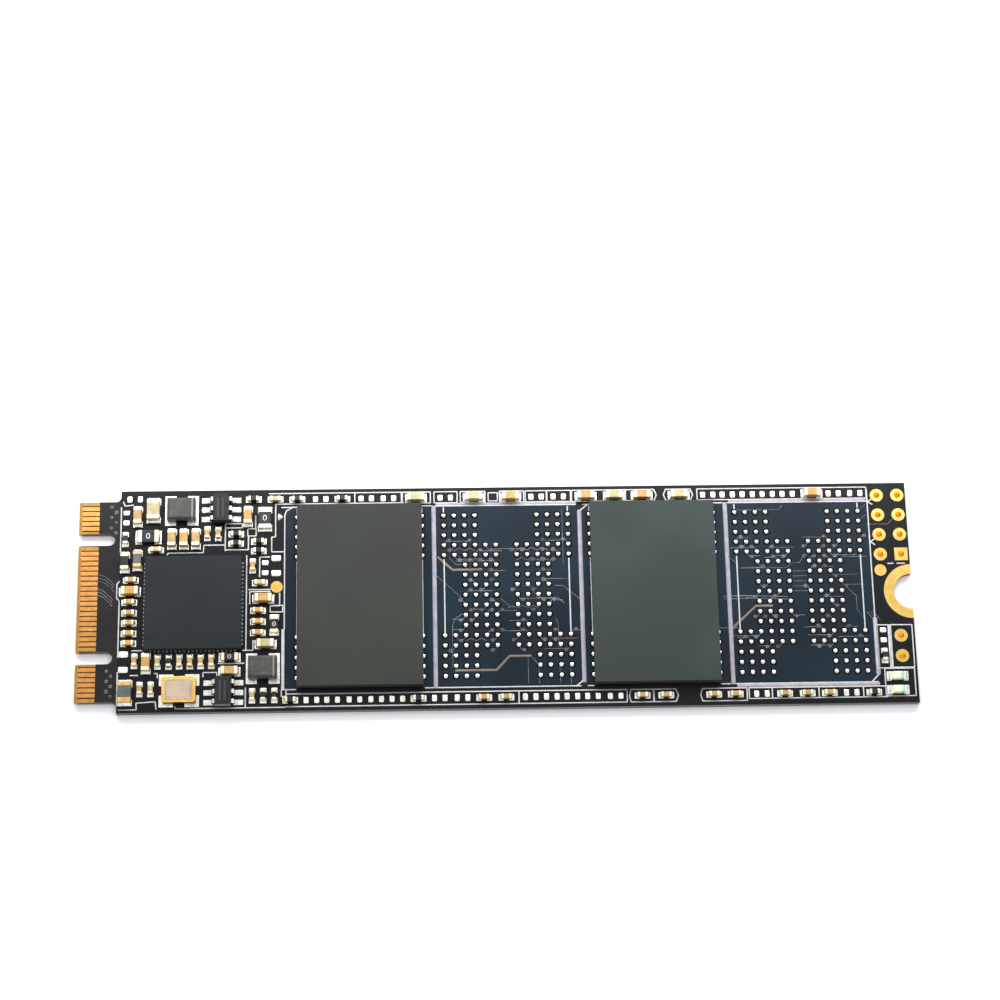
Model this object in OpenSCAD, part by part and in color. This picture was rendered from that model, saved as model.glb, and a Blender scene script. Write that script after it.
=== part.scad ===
// A gumstick solid state drive: a slim circuit board with a keyed card edge at one end and a
// half-round screw notch at the other. It carries a controller, two flash memory packages, two
// more memory sites that are left bare, and the small parts of its power supply.
// Places on the board are written as u, the distance from the contact edge, and v, the distance
// from the centreline. The origin is under the middle of the board, +X runs towards the screw
// notch and +Z out of the side that carries the parts.

/* [Board] */
// Length of the board, from the contact edge to the screw end
board_l = 80; // [80:1:110]
// Width of the board
board_w = 22; // [22:0.5:30]
// Thickness of the board, with the solder mask of both sides
board_t = 0.8; // [0.6:0.01:1.2]
// Thickness of the solder mask and of the gold that lies flush in it
mask_t = 0.04; // [0.02:0.01:0.06]
// Thickness of the plating on the walls of the holes
plating_t = 0.018; // [0.012:0.002:0.03]

/* [Card edge] */
// Width of the tongue that goes into the socket
tongue_w = 19.85; // [19.6:0.05:20.5]
// Length of the tongue, up to its shoulders
tongue_l = 4; // [3.9:0.05:4.2]
// Radius of the fillets where the tongue meets the shoulders
shoulder_r = 0.5; // [0.2:0.05:0.7]
// Distance from one contact to the next on the same side
contact_pitch = 0.5; // [0.4:0.01:0.5]
// Width of one gold contact
contact_w = 0.38; // [0.2:0.01:0.39]
// Length of one gold contact
contact_l = 1.65; // [1.2:0.05:2.2]
// Distance from the contact edge to the first gold
contact_setback = 0.3; // [0.25:0.05:0.6]
// Length of the bevel at the contact edge
bevel_l = 0.25; // [0.1:0.01:0.25]
// Depth of the bevel on each side
bevel_h = 0.15; // [0.05:0.01:0.2]
// Width of each key notch
key_w = 1.2; // [0.8:0.05:1.3]
// Depth of each key notch, to the end of its round
key_depth = 3.5; // [2.5:0.05:3.8]

/* [Screw end] */
// Radius of the half-round notch for the screw
notch_r = 1.75; // [1.5:0.05:2]
// Width of the gold ring round the notch
notch_ring_w = 0.95; // [0.5:0.05:1]
// Distance from one hole of the test header to the next
header_pitch = 2; // [1.6:0.05:2.1]
// Diameter of the open holes of the header
header_hole_d = 0.6; // [0.5:0.01:0.9]
// Diameter of the gold ring round each hole
header_ring_d = 1.28; // [1.1:0.01:1.4]
// Diameter of the round gold dots
gold_dot_d = 1.15; // [0.8:0.05:1.3]

/* [Flash memory] */
// Width of a flash package, along the board
flash_l = 12; // [9:0.5:12.5]
// Length of a flash package, across the board
flash_w = 18; // [14:0.5:18]
// Thickness of a flash package without its balls
flash_t = 0.85; // [0.6:0.05:1.2]
// Thickness of the package's own small board
flash_substrate_t = 0.24; // [0.15:0.01:0.3]
// Distance from one solder ball to the next
ball_pitch = 1; // [0.8:0.01:1]
// Diameter of a solder ball
ball_d = 0.5; // [0.35:0.01:0.55]
// Height at which the balls hold a package over the board
ball_stand = 0.25; // [0.22:0.01:0.35]
// Height of the solder bumps on a bare site
bump_h = 0.2; // [0.1:0.01:0.21]

/* [Controller] */
// Side of the controller's square body
controller_w = 9.2; // [6:0.1:9.4]
// Thickness of the controller's body
controller_t = 0.85; // [0.5:0.05:1]
// Distance from one lead of the controller to the next
lead_pitch = 0.4; // [0.35:0.01:0.65]

/* [Power supply] */
// Length of a coil's moulded body
coil_l = 2.7; // [2:0.05:3]
// Width of a coil's moulded body
coil_w = 2.15; // [1.6:0.05:2.5]
// Height of a coil's moulded body
coil_h = 1; // [0.8:0.05:1.2]
// Width of a regulator's moulded body, without its leads
regulator_w = 1.6; // [1.3:0.05:1.7]
// Length of a regulator's moulded body, along its row of leads
regulator_l = 2.9; // [2.6:0.05:3]
// Height of a regulator over the board
regulator_h = 1.05; // [0.9:0.05:1.2]
// Span of a regulator over the tips of its leads
regulator_span = 2.8; // [2.5:0.05:3]
// Length of the crystal's ceramic base
crystal_l = 3.2; // [2.5:0.05:3.3]
// Width of the crystal's ceramic base
crystal_w = 2.5; // [2:0.05:2.6]

/* [Hidden] */
$fn = 32;
eps = 0.01;

// The card edge has contacts 1 to 75, odd ones on the top and even ones underneath. Two keys
// take the place of contacts 12 to 19 and 59 to 66.
last_contact = 75;
contact_middle = (last_contact + 1) / 2;
key_gaps = [[12, 19], [59, 66]];
bare_edge_l = contact_setback + contact_l;

// Room along the board, from one block of parts to the next
left_column_l = 6.5;
right_column_l = 4.2;
tail_l = 3.7;
controller_u = left_column_l + controller_w / 2;
controller_v = -0.45;
controller_right = left_column_l + controller_w;
bank_start = controller_right + right_column_l;
site_count = 4;
site_pitch = (board_l - tail_l - bank_start) / site_count;
site_v = 0.15;
row_setback = 1.03;

// Ball grid of a memory site, counted in columns along the board and rows across it
grid_columns = 13;
grid_rows = 17;
bump_flat = 72;

// Sizes of the small chip parts: length, width, height and length of each metal end
SMALL = [1.0, 0.5, 0.5, 0.24];
MEDIUM = [1.6, 0.8, 0.8, 0.34];
LARGE = [2.0, 1.25, 0.85, 0.42];
FLAT = [2.0, 1.25, 0.5, 0.4];
MARKED = [1.6, 0.8, 0.45, 0.32];
pad_t = 0.04;
pad_out = 0.24;
pad_side = 0.06;
lump_h = 0.1;
lump_slope = 0.05;
fillet_rise = 0.55;
chip_edge = 0.05;
body_inset = 0.02;

// Small parts near the top edge: u, distance in from the edge, size, kind, turned across or not
TOP_PARTS = [
    [5.65, 2.65, MEDIUM, "tan", true],
    [7.15, 2.05, LARGE, "pale", true],
    [8.95, 4.95, MEDIUM, "tan", true],
    [10.1, 4.95, MEDIUM, "orange", true],
    [11.25, 4.95, MEDIUM, "tan", true],
    [12.32, 4.4, SMALL, "orange", true],
    [13.37, 4.4, SMALL, "tan", true],
    [16.22, 2.75, MEDIUM, "orange", true],
    [7.45, 6.0, SMALL, "pale", false],
    [18.85, 1.0, SMALL, "pale", false],
    [16.75, 0.98, SMALL, "resistor", false],
    [4.5, 4.9, SMALL, "resistor", true],
    [4.5, 7.25, MEDIUM, "resistor", true],
    [15.1, 4.5, SMALL, "resistor", false],
    [15.1, 5.45, SMALL, "resistor", false],
    [17.28, 5.25, SMALL, "resistor", false],
    [17.28, 6.2, SMALL, "resistor", false],
    [6.7, 4.7, FLAT, "link", false],
    [17.85, 3.0, FLAT, "link", true],
    [5.7, 7.05, MEDIUM, "bead", true],
    [5.32, 0.85, SMALL, "bare", false],
    [4.55, 2.72, SMALL, "bare", true]
];

// Small parts near the bottom edge, listed in the same way
BOTTOM_PARTS = [
    [5.6, 5.0, SMALL, "tan", true],
    [6.7, 4.75, MEDIUM, "orange", true],
    [7.8, 4.9, SMALL, "tan", true],
    [8.85, 4.88, SMALL, "resistor", true],
    [9.85, 4.9, SMALL, "pale", true],
    [10.85, 4.9, SMALL, "orange", true],
    [11.87, 4.9, SMALL, "tan", true],
    [12.87, 4.9, SMALL, "tan", true],
    [14.6, 5.28, MARKED, "marked", false],
    [14.6, 3.87, MEDIUM, "tan", false],
    [4.8, 1.9, LARGE, "bead", true],
    [6.15, 2.25, SMALL, "tan", true],
    [7.2, 2.25, SMALL, "pale", true],
    [16.75, 1.5, SMALL, "pale", true],
    [17.8, 1.5, SMALL, "resistor", true],
    [18.85, 1.5, SMALL, "resistor", true],
    [4.55, 4.93, MEDIUM, "bare", true]
];

// Small parts left of the controller: u and v
LEFT_PARTS = [
    [5.1, 2.0, SMALL, "tan", false],
    [5.05, 0.85, MEDIUM, "orange", false],
    [5.0, -0.2, SMALL, "tan", false],
    [5.0, -1.25, SMALL, "tan", false],
    [5.0, -2.25, SMALL, "orange", false],
    [5.0, -3.28, SMALL, "orange", false],
    [5.0, -4.25, SMALL, "orange", false]
];

// Small parts right of the controller: distance from its side, and v
RIGHT_PARTS = [
    [1.7, 1.6, SMALL, "pale", false],
    [2.05, 0.0, MEDIUM, "orange", false],
    [1.55, -1.15, SMALL, "orange", false],
    [1.55, -2.25, SMALL, "orange", false],
    [1.55, -3.35, SMALL, "orange", false],
    [2.3, -4.5, MEDIUM, "pale", false],
    [3.1, -2.6, MARKED, "marked", true],
    [1.0, 3.3, SMALL, "orange", true],
    [2.2, 3.1, SMALL, "bare", true],
    [3.25, 3.3, MEDIUM, "bare", true]
];

// The two long rows beside the memory sites: u along the board, size and kind
TOP_ROW = [
    [20.95, SMALL, "resistor"],
    [23.2, SMALL, "bare"],
    [25.3, SMALL, "resistor"],
    [27.6, SMALL, "bare"],
    [29.75, SMALL, "bare"],
    [32.4, MEDIUM, "pale"],
    [35.25, SMALL, "bare"],
    [38.0, MEDIUM, "pale"],
    [41.55, MEDIUM, "orange"],
    [44.05, SMALL, "bare"],
    [46.2, SMALL, "bare"],
    [48.85, MEDIUM, "orange"],
    [51.6, MEDIUM, "pale"],
    [54.3, MEDIUM, "orange"],
    [57.9, MEDIUM, "pale"],
    [60.75, SMALL, "bare"],
    [62.65, SMALL, "bare"],
    [64.6, SMALL, "bare"],
    [66.55, SMALL, "bare"],
    [68.5, SMALL, "bare"],
    [70.85, MEDIUM, "orange"],
    [73.0, SMALL, "bare"],
    [75.1, SMALL, "bare"]
];
BOTTOM_ROW = [
    [20.35, SMALL, "resistor"],
    [22.35, SMALL, "bare"],
    [24.3, SMALL, "bare"],
    [26.4, SMALL, "bare"],
    [28.45, SMALL, "bare"],
    [30.45, SMALL, "bare"],
    [32.45, SMALL, "resistor"],
    [34.45, SMALL, "bare"],
    [36.6, SMALL, "bare"],
    [38.65, SMALL, "orange"],
    [40.75, SMALL, "tan"],
    [43.05, SMALL, "bare"],
    [45.05, SMALL, "bare"],
    [47.0, SMALL, "bare"],
    [48.95, SMALL, "bare"],
    [51.1, SMALL, "bare"],
    [53.65, SMALL, "tan"],
    [55.9, SMALL, "tan"],
    [60.45, SMALL, "tan"],
    [62.5, SMALL, "tan"],
    [65.0, SMALL, "bare"],
    [67.2, SMALL, "tan"],
    [69.35, SMALL, "tan"],
    [71.45, SMALL, "orange"],
    [73.55, SMALL, "bare"],
    [75.7, SMALL, "resistor"]
];

// Parts of the screw end: distance from the far edge and v
TAIL_PARTS = [
    [3.05, -4.35, SMALL, "bare", true],
    [3.05, -6.4, SMALL, "resistor", true]
];

// One list of every small part: u, v, size, kind, turned
PARTS = [
    for (p = TOP_PARTS) [p[0], board_w / 2 - p[1], p[2], p[3], p[4]],
    for (p = BOTTOM_PARTS) [p[0], p[1] - board_w / 2, p[2], p[3], p[4]],
    for (p = LEFT_PARTS) p,
    for (p = RIGHT_PARTS) [controller_right + p[0], p[1], p[2], p[3], p[4]],
    for (p = TOP_ROW) [p[0], board_w / 2 - row_setback, p[1], p[2], false],
    for (p = BOTTOM_ROW) [p[0], row_setback - board_w / 2, p[1], p[2], false],
    for (p = TAIL_PARTS) [board_l - p[0], p[1], p[2], p[3], p[4]]
];

// Coils, regulators, the crystal and the two lamps: u and v
COILS = [[9.85, board_w / 2 - 2.05], [17.75, 4.15 - board_w / 2]];
REGULATORS = [[13.65, board_w / 2 - 2.0], [14.05, 1.85 - board_w / 2]];
CRYSTAL = [9.87, 2.1 - board_w / 2];
LEDS = [[board_l - 1.98, 2.6 - board_w / 2], [board_l - 1.98, 1.25 - board_w / 2]];
LED = [1.6, 0.8, 0.55, 0.22];
led_base_h = 0.2;
led_lens_l = 1.1;

// Header, jumper and gold dots of the board: u and v
header_first = [board_l - 0.8, board_w / 2 - 1.25];
HEADER = [
    for (row = [0:3], column = [0:1])
        [header_first[0] - column * header_pitch, header_first[1] - row * header_pitch]
];
square_hole = 6;
jumper_u = board_l - 1.35;
JUMPERS = [[jumper_u, -4.4], [jumper_u, -4.4 - header_pitch]];
GOLD_DOTS = [[board_l - 2.9, 2.15], [controller_right + 3.3, 1.2]];

// Lands and terminals of the larger parts
coil_land_l = 1.05;
coil_land_w = 3.0;
coil_land_span = 3.2;
coil_wrap_t = 0.08;
coil_wrap_h = 0.55;
coil_edge = 0.16;
regulator_lead_w = 0.4;
regulator_lead_t = 0.15;
regulator_lead_pitch = 0.95;
regulator_land_l = 0.95;
regulator_exit_z = 0.5;
regulator_draft = 0.09;
crystal_land_l = 1.35;
crystal_land_w = 1.15;
crystal_land_span_l = 3.8;
crystal_land_span_w = 3.2;
crystal_base_h = 0.5;
crystal_rim_h = 0.12;
crystal_lid_h = 0.07;
crystal_rim_w = 0.27;
crystal_corner_r = 0.18;
lead_w = 0.2;
lead_h = 0.2;
lead_out = 0.14;
lead_margin = 0.5;

function contact_v(pin) = (pin - contact_middle) * contact_pitch / 2;
function in_key(pin) = len([for (gap = key_gaps) if (pin >= gap[0] && pin <= gap[1]) 1]) > 0;
function key_v(gap) = contact_v((gap[0] + gap[1]) / 2);
function site_u(i) = bank_start + (i + 0.5) * site_pitch;
function arc(c, r, from, to, n = 4) =
    [for (i = [0:n]) c + r * [cos(from + (to - from) * i / n), sin(from + (to - from) * i / n)]];

// Steps in from the nearer side of the grid, counted from 0
function from_side(i, count) = min(i, count - 1 - i);
function has_ball(column, row) =
    let (c = from_side(column, grid_columns), r = from_side(row, grid_rows))
    r < 3 ? c < 4 : r < 5 ? c < 6 : c > 1 && c < 6;
function is_spare(column) = from_side(column, grid_columns) == 0;
function ball_at(column, row) =
    [(column - (grid_columns - 1) / 2) * ball_pitch, (row - (grid_rows - 1) / 2) * ball_pitch];

// Puts what follows on the board at u and v, with its bottom at height z
module at(u, v, z = board_t) {
    translate([u - board_l / 2, v, z]) children();
}

module at_part(p, z) {
    at(p[0], p[1], z) rotate([0, 0, p[4] ? 90 : 0]) children();
}

// A bar along X on the plane z = 0, with its four long edges taken off
module bar(l, w, h, c = chip_edge) {
    rotate([90, 0, 90])
        linear_extrude(l, center = true)
            polygon([
                [c - w / 2, 0], [w / 2 - c, 0], [w / 2, c], [w / 2, h - c],
                [w / 2 - c, h], [c - w / 2, h], [-w / 2, h - c], [-w / 2, c]
            ]);
}

module block(l, w, h) {
    translate([-l / 2, -w / 2, 0]) cube([l, w, h]);
}

module rounded_plate(l, w, h, r) {
    linear_extrude(h) {
        square([l - 2 * r, w], center = true);
        square([l, w - 2 * r], center = true);
        for (x = [-1, 1], y = [-1, 1])
            translate([x * (l / 2 - r), y * (w / 2 - r)]) circle(r);
    }
}

// A moulded body on the plane z = 0, widest at the parting line and drafted to both faces
module moulded(l, w, h, part_z, draft) {
    intersection() {
        rotate([90, 0, 0])
            linear_extrude(w, center = true)
                polygon([
                    [draft - l / 2, 0], [l / 2 - draft, 0], [l / 2, part_z],
                    [l / 2 - draft, h], [draft - l / 2, h], [-l / 2, part_z]
                ]);
        rotate([90, 0, 90])
            linear_extrude(l, center = true)
                polygon([
                    [draft - w / 2, 0], [w / 2 - draft, 0], [w / 2, part_z],
                    [w / 2 - draft, h], [draft - w / 2, h], [-w / 2, part_z]
                ]);
    }
}

module outline() {
    difference() {
        union() {
            translate([0, -tongue_w / 2]) square([tongue_l + eps, tongue_w]);
            translate([tongue_l, -board_w / 2]) square([board_l - tongue_l, board_w]);
            for (side = [-1, 1]) scale([1, side]) shoulder_fillet();
        }
        for (gap = key_gaps) translate([0, key_v(gap)]) key_notch();
        translate([board_l, 0]) circle(notch_r, $fn = 64);
    }
}

module shoulder_fillet() {
    translate([tongue_l, tongue_w / 2])
        difference() {
            translate([-shoulder_r, -eps]) square([shoulder_r + eps, shoulder_r + eps]);
            translate([-shoulder_r, shoulder_r]) circle(shoulder_r);
        }
}

module key_notch() {
    translate([-1, -key_w / 2]) square([key_depth + 1 - key_w / 2, key_w]);
    translate([key_depth - key_w / 2, 0]) circle(key_w / 2);
}

// Where the mask stops short of the contacts, and the bevel of the leading edge
module edge_relief() {
    for (side = [0, 1]) {
        face = side * board_t;
        bare = side * (board_t - mask_t);
        translate([-eps, -board_w / 2, bare - eps * (1 - side)])
            cube([bare_edge_l + eps, board_w, mask_t + eps]);
        translate([0, 0, side ? face - mask_t : mask_t])
            scale([1, 1, side ? 1 : -1]) bevel();
    }
}

module bevel() {
    slope = bevel_h / bevel_l;
    rotate([90, 0, 0])
        linear_extrude(board_w, center = true)
            polygon([[-1, -bevel_h - slope], [bevel_l, 0], [bevel_l, 1], [-1, 1]]);
}

// The space of a plated hole: its ring in the mask on both sides and its barrel
module hole_seat(square_ring = false) {
    for (z = [-eps, board_t - mask_t]) translate([0, 0, z]) ring_blank(mask_t + eps, square_ring);
    cylinder(d = header_hole_d + 2 * plating_t, h = board_t);
}

module ring_blank(h, square_ring) {
    if (square_ring) block(header_ring_d, header_ring_d, h);
    else cylinder(d = header_ring_d, h = h);
}

module plated_hole(square_ring = false) {
    difference() {
        union() {
            for (z = [0, board_t - mask_t]) translate([0, 0, z]) ring_blank(mask_t, square_ring);
            cylinder(d = header_hole_d + 2 * plating_t, h = board_t);
        }
        translate([0, 0, -1]) cylinder(d = header_hole_d, h = board_t + 2);
    }
}

module circuit_board() {
    color("#10131c")
    difference() {
        at(0, 0, 0) linear_extrude(board_t) outline();
        at(0, 0, 0) edge_relief();
        for (i = [0:len(HEADER) - 1]) at(HEADER[i][0], HEADER[i][1], 0) hole_seat(i == square_hole);
        for (p = JUMPERS) at(p[0], p[1], 0) hole_seat();
        for (p = GOLD_DOTS) at(p[0], p[1], board_t - mask_t) cylinder(d = gold_dot_d, h = 1);
        for (z = [-1, board_t - mask_t])
            at(board_l, 0, z) cylinder(r = notch_r + notch_ring_w, h = z < 0 ? 1 + mask_t : 1, $fn = 64);
    }
}

module contacts(first, z) {
    color("#e2a35c")
    for (pin = [first:2:last_contact])
        if (!in_key(pin))
            at(contact_setback, contact_v(pin) - contact_w / 2, z)
                cube([contact_l, contact_w, mask_t]);
}

module edge_contacts_top() {
    contacts(1, board_t - mask_t);
}

module edge_contacts_bottom() {
    contacts(2, 0);
}

// Half rings of gold on both faces. The notch was cut through them, so its wall is bare laminate
module screw_notch_ring() {
    color("#e6c070")
    intersection() {
        for (z = [0, board_t - mask_t])
            at(board_l, 0, z)
                difference() {
                    cylinder(r = notch_r + notch_ring_w, h = mask_t, $fn = 64);
                    translate([0, 0, -1]) cylinder(r = notch_r, h = mask_t + 2, $fn = 64);
                }
        at(0, -board_w / 2, 0) cube([board_l, board_w, board_t]);
    }
}

module header_plated_holes() {
    color("#ebb94f")
    for (i = [0:len(HEADER) - 1]) at(HEADER[i][0], HEADER[i][1], 0) plated_hole(i == square_hole);
}

module jumper_plated_holes() {
    color("#ebb94f")
    for (p = JUMPERS) at(p[0], p[1], 0) plated_hole();
}

module gold_dots() {
    color("#f0c86e")
    for (p = GOLD_DOTS) at(p[0], p[1], board_t - mask_t) cylinder(d = gold_dot_d, h = mask_t);
}

// A flat strip along X on the plane z = 0, with its upper edges taken off
module strip(l, w, h, c) {
    rotate([90, 0, 90])
        linear_extrude(l, center = true)
            polygon([
                [-w / 2, 0], [w / 2, 0], [w / 2, h - c],
                [w / 2 - c, h], [c - w / 2, h], [-w / 2, h - c]
            ]);
}

module tinned_pad(l, w) {
    strip(l, w, pad_t, pad_t / 2);
}

// A pad with a lump of solder on it, sloped on all four sides
module soldered_pad(l, w) {
    intersection() {
        strip(l, w, lump_h, lump_slope);
        rotate([0, 0, 90]) strip(w, l, lump_h, lump_slope);
    }
}

function pad_l(size) = size[3] + pad_out;
function pad_x(size) = (size[0] - size[3] + pad_out) / 2;
function pad_w(size) = size[1] + 2 * pad_side;

module bare_pads() {
    color("#e9e9e4")
    for (p = PARTS)
        if (p[3] == "bare")
            for (side = [-1, 1])
                at_part(p, board_t)
                    translate([side * pad_x(p[2]), 0, 0]) soldered_pad(pad_l(p[2]), pad_w(p[2]));
}

// The pad under one end of a chip part, with the solder that climbs the end's face
module chip_joint(size) {
    tip = size[0] / 2;
    rise = size[2] * fillet_rise;
    translate([pad_x(size), 0, 0]) tinned_pad(pad_l(size), pad_w(size));
    translate([tip, 0, pad_t])
        rotate([90, 0, 0])
            linear_extrude(size[1] - 2 * chip_edge, center = true)
                polygon(concat(
                    [[0, -pad_t / 2]],
                    arc([pad_out, rise], pad_out * 0.98, 270, 180),
                    [[0, rise]]
                ));
}

module solder_joints() {
    color("#dcdcd6")
    union() {
        for (p = PARTS)
            if (p[3] != "bare")
                for (side = [0, 180]) at_part(p, board_t) rotate([0, 0, side]) chip_joint(p[2]);
        for (p = LEDS, side = [0, 180]) at(p[0], p[1]) rotate([0, 0, side]) chip_joint(LED);
        for (p = COILS, side = [-1, 1])
            at(p[0] + side * (coil_land_span - coil_land_l) / 2, p[1])
                tinned_pad(coil_land_l, coil_land_w);
        for (p = REGULATORS, side = [-1, 1], i = [-1:1])
            at(p[0] + side * (regulator_span / 2), p[1] + i * regulator_lead_pitch)
                tinned_pad(regulator_land_l, regulator_lead_w + 2 * pad_side);
        for (x = [-1, 1], y = [-1, 1])
            at(CRYSTAL[0] + x * (crystal_land_span_l - crystal_land_l) / 2,
               CRYSTAL[1] + y * (crystal_land_span_w - crystal_land_w) / 2)
                tinned_pad(crystal_land_l, crystal_land_w);
    }
}

module controller_body() {
    color("#39404a")
    difference() {
        at(controller_u, controller_v, board_t + pad_t) {
            block(controller_w, controller_w, controller_t - 0.06);
            translate([0, 0, controller_t - 0.06])
                block(controller_w - 0.08, controller_w - 0.08, 0.06);
        }
        at(controller_u - controller_w / 2 + 0.8, controller_v - controller_w / 2 + 0.8,
           board_t + pad_t + controller_t - 0.04)
            cylinder(d = 0.6, h = 1);
    }
}

module controller_leads() {
    count = floor((controller_w - 2 * lead_margin) / lead_pitch);
    color("#c9ccd0")
    for (turn = [0:90:270], i = [0:count])
        at(controller_u, controller_v)
            rotate([0, 0, turn])
                translate([controller_w / 2, (i - count / 2) * lead_pitch - lead_w / 2, 0])
                    cube([lead_out, lead_w, lead_h]);
}

module flash_chip(site) {
    at(site_u(site), site_v, board_t + ball_stand) {
        block(flash_l, flash_w, flash_substrate_t);
        translate([0, 0, flash_substrate_t])
            block(flash_l - 0.04, flash_w - 0.04, flash_t - flash_substrate_t);
    }
}

module flash_chip_inner() {
    color("#4a504c") flash_chip(0);
}

module flash_chip_outer() {
    color("#505a58") flash_chip(2);
}

// A solder ball that has sunk to the height of the stand, flat above and below
module ball() {
    r = ball_d / 2;
    half = ball_stand / 2;
    lean = asin(half / r);
    rotate_extrude($fn = 16)
        polygon(concat([[0, 0]], arc([0, half], r, -lean, lean), [[0, ball_stand]]));
}

// A low dome of solder on a land that has no package over it, with a small flat where it cooled
module bump() {
    rise = bump_h / sin(bump_flat);
    rotate_extrude($fn = 16)
        polygon(concat(
            [[0, 0]],
            [for (i = [0:3]) [ball_d / 2 * cos(bump_flat * i / 3), rise * sin(bump_flat * i / 3)]],
            [[0, bump_h]]
        ));
}

module balls(site) {
    for (column = [0:grid_columns - 1], row = [0:grid_rows - 1])
        if (has_ball(column, row) && !is_spare(column)) grid_place(site, column, row) ball();
}

module grid_place(site, column, row) {
    at(site_u(site) + ball_at(column, row)[0], site_v + ball_at(column, row)[1]) children();
}

module flash_balls_inner() {
    color("#c8cacc") balls(0);
}

module flash_balls_outer() {
    color("#c8cacc") balls(2);
}

// The packages fitted are narrower than the sites: the outer columns keep their bare bumps
module spare_bumps() {
    color("#e4e6e8")
    for (site = [0, 2], column = [0, grid_columns - 1], row = [0:grid_rows - 1])
        if (has_ball(column, row)) grid_place(site, column, row) bump();
}

module site_bumps(site) {
    color("#e4e6e8")
    for (column = [0:grid_columns - 1], row = [0:grid_rows - 1])
        if (has_ball(column, row)) grid_place(site, column, row) bump();
}

module bare_site_bumps_inner() {
    site_bumps(1);
}

module bare_site_bumps_outer() {
    site_bumps(3);
}

module at_crystal(z) {
    at(CRYSTAL[0], CRYSTAL[1], board_t + pad_t + z) children();
}

module crystal_base() {
    color("#3d3a38")
    at_crystal(0)
        difference() {
            block(crystal_l, crystal_w, crystal_base_h);
            for (x = [-1, 1], y = [-1, 1])
                translate([x * crystal_l / 2, y * crystal_w / 2, -1])
                    cylinder(r = crystal_corner_r, h = crystal_base_h + 2, $fn = 24);
        }
}

module crystal_rim() {
    color("#f0cf72")
    at_crystal(crystal_base_h)
        difference() {
            rounded_plate(crystal_l, crystal_w, crystal_rim_h, crystal_corner_r * 1.6);
            translate([0, 0, -1])
                rounded_plate(crystal_l - 3 * crystal_rim_w, crystal_w - 3 * crystal_rim_w,
                              crystal_rim_h + 2, crystal_corner_r);
        }
}

module crystal_lid() {
    color("#d8c4ae")
    at_crystal(crystal_base_h + crystal_rim_h)
        rounded_plate(crystal_l - 2 * crystal_rim_w, crystal_w - 2 * crystal_rim_w,
                      crystal_lid_h, crystal_corner_r);
}

// A coil's body: a moulded block whose top edges are broken by a wide bevel
module coil_bodies() {
    color("#55534f")
    for (p = COILS)
        at(p[0], p[1], board_t + pad_t)
            intersection() {
                bar(coil_l, coil_w, coil_h, coil_edge);
                rotate([0, 0, 90]) bar(coil_w, coil_l, coil_h, coil_edge);
            }
}

// A coil's terminals: plates that fold up both ends
module coil_terminals() {
    color("#cfcbc2")
    for (p = COILS, side = [-1, 1])
        at(p[0] + side * (coil_l + coil_wrap_t) / 2, p[1], board_t + pad_t)
            block(coil_wrap_t, coil_w - 2 * coil_edge, coil_wrap_h);
}

module regulator_bodies() {
    color("#2c302f")
    for (p = REGULATORS)
        at(p[0], p[1], board_t + pad_t + 0.08)
            difference() {
                moulded(regulator_w, regulator_l, regulator_h - 0.08, regulator_exit_z,
                        regulator_draft);
                for (x = [-0.16, 0.2])
                    translate([x, 0, regulator_h - 0.12])
                        block(0.07, regulator_l - 0.9, 1);
            }
}

// One gull-wing lead, from the body's side at x = 0 down to its foot
module gull_lead(reach, exit_z) {
    t = regulator_lead_t;
    r = 0.08;
    s = 0.06;
    top = exit_z - t / 2 - r;
    foot = s + 2 * r + t;
    rotate([90, 0, 0])
        linear_extrude(regulator_lead_w, center = true)
            polygon(concat(
                [[0, exit_z + t / 2]],
                arc([s, top], r + t, 90, 0),
                arc([foot, t + r], r, 180, 270),
                [[reach, t], [reach, 0]],
                arc([foot, t + r], r + t, 270, 180),
                arc([s, top], r, 0, 90),
                [[0, exit_z - t / 2]]
            ));
}

module regulator_leads() {
    color("#c4c6c6")
    for (p = REGULATORS, side = [0, 180], i = [-1:1])
        at(p[0], p[1], board_t + pad_t)
            rotate([0, 0, side])
                translate([regulator_w / 2, i * regulator_lead_pitch, 0])
                    gull_lead((regulator_span - regulator_w) / 2, regulator_exit_z + 0.08);
}

// The ceramic of every small part of one kind, between its two metal ends
module chip_bodies(kind) {
    for (p = PARTS)
        if (p[3] == kind)
            at_part(p, board_t + pad_t + body_inset)
                bar(p[2][0] - 2 * p[2][3], p[2][1] - 2 * body_inset, p[2][2] - 2 * body_inset);
}

// A metal end that wraps the ceramic, with its outer corners taken off
module chip_end(size) {
    x = size[0] / 2;
    w = size[1] / 2;
    c = chip_edge;
    intersection() {
        translate([x - size[3] / 2, 0, 0]) bar(size[3], size[1], size[2]);
        linear_extrude(size[2])
            polygon([[x - size[3], -w], [x - c, -w], [x, c - w], [x, w - c], [x - c, w], [x - size[3], w]]);
    }
}

module chip_ends(kinds) {
    for (p = PARTS)
        if (len([for (kind = kinds) if (kind == p[3]) 1]) > 0)
            for (side = [0, 180])
                at_part(p, board_t + pad_t) rotate([0, 0, side]) chip_end(p[2]);
}

module capacitor_bodies_tan() {
    color("#c9a878") chip_bodies("tan");
}

module capacitor_bodies_orange() {
    color("#d49a5c") chip_bodies("orange");
}

module capacitor_bodies_pale() {
    color("#d8cca6") chip_bodies("pale");
}

module capacitor_ends() {
    color("#e8e2cc") chip_ends(["tan", "orange", "pale"]);
}

module resistor_bodies() {
    color("#23272a") chip_bodies("resistor");
}

module resistor_ends() {
    color("#e6e6e0") chip_ends(["resistor"]);
}

module link_bodies() {
    color("#1a1c20") {
        chip_bodies("link");
        chip_bodies("marked");
    }
}

module link_ends() {
    color("#ece8d4") chip_ends(["link", "marked"]);
}

module bead_bodies() {
    color("#74777a") chip_bodies("bead");
}

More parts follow.
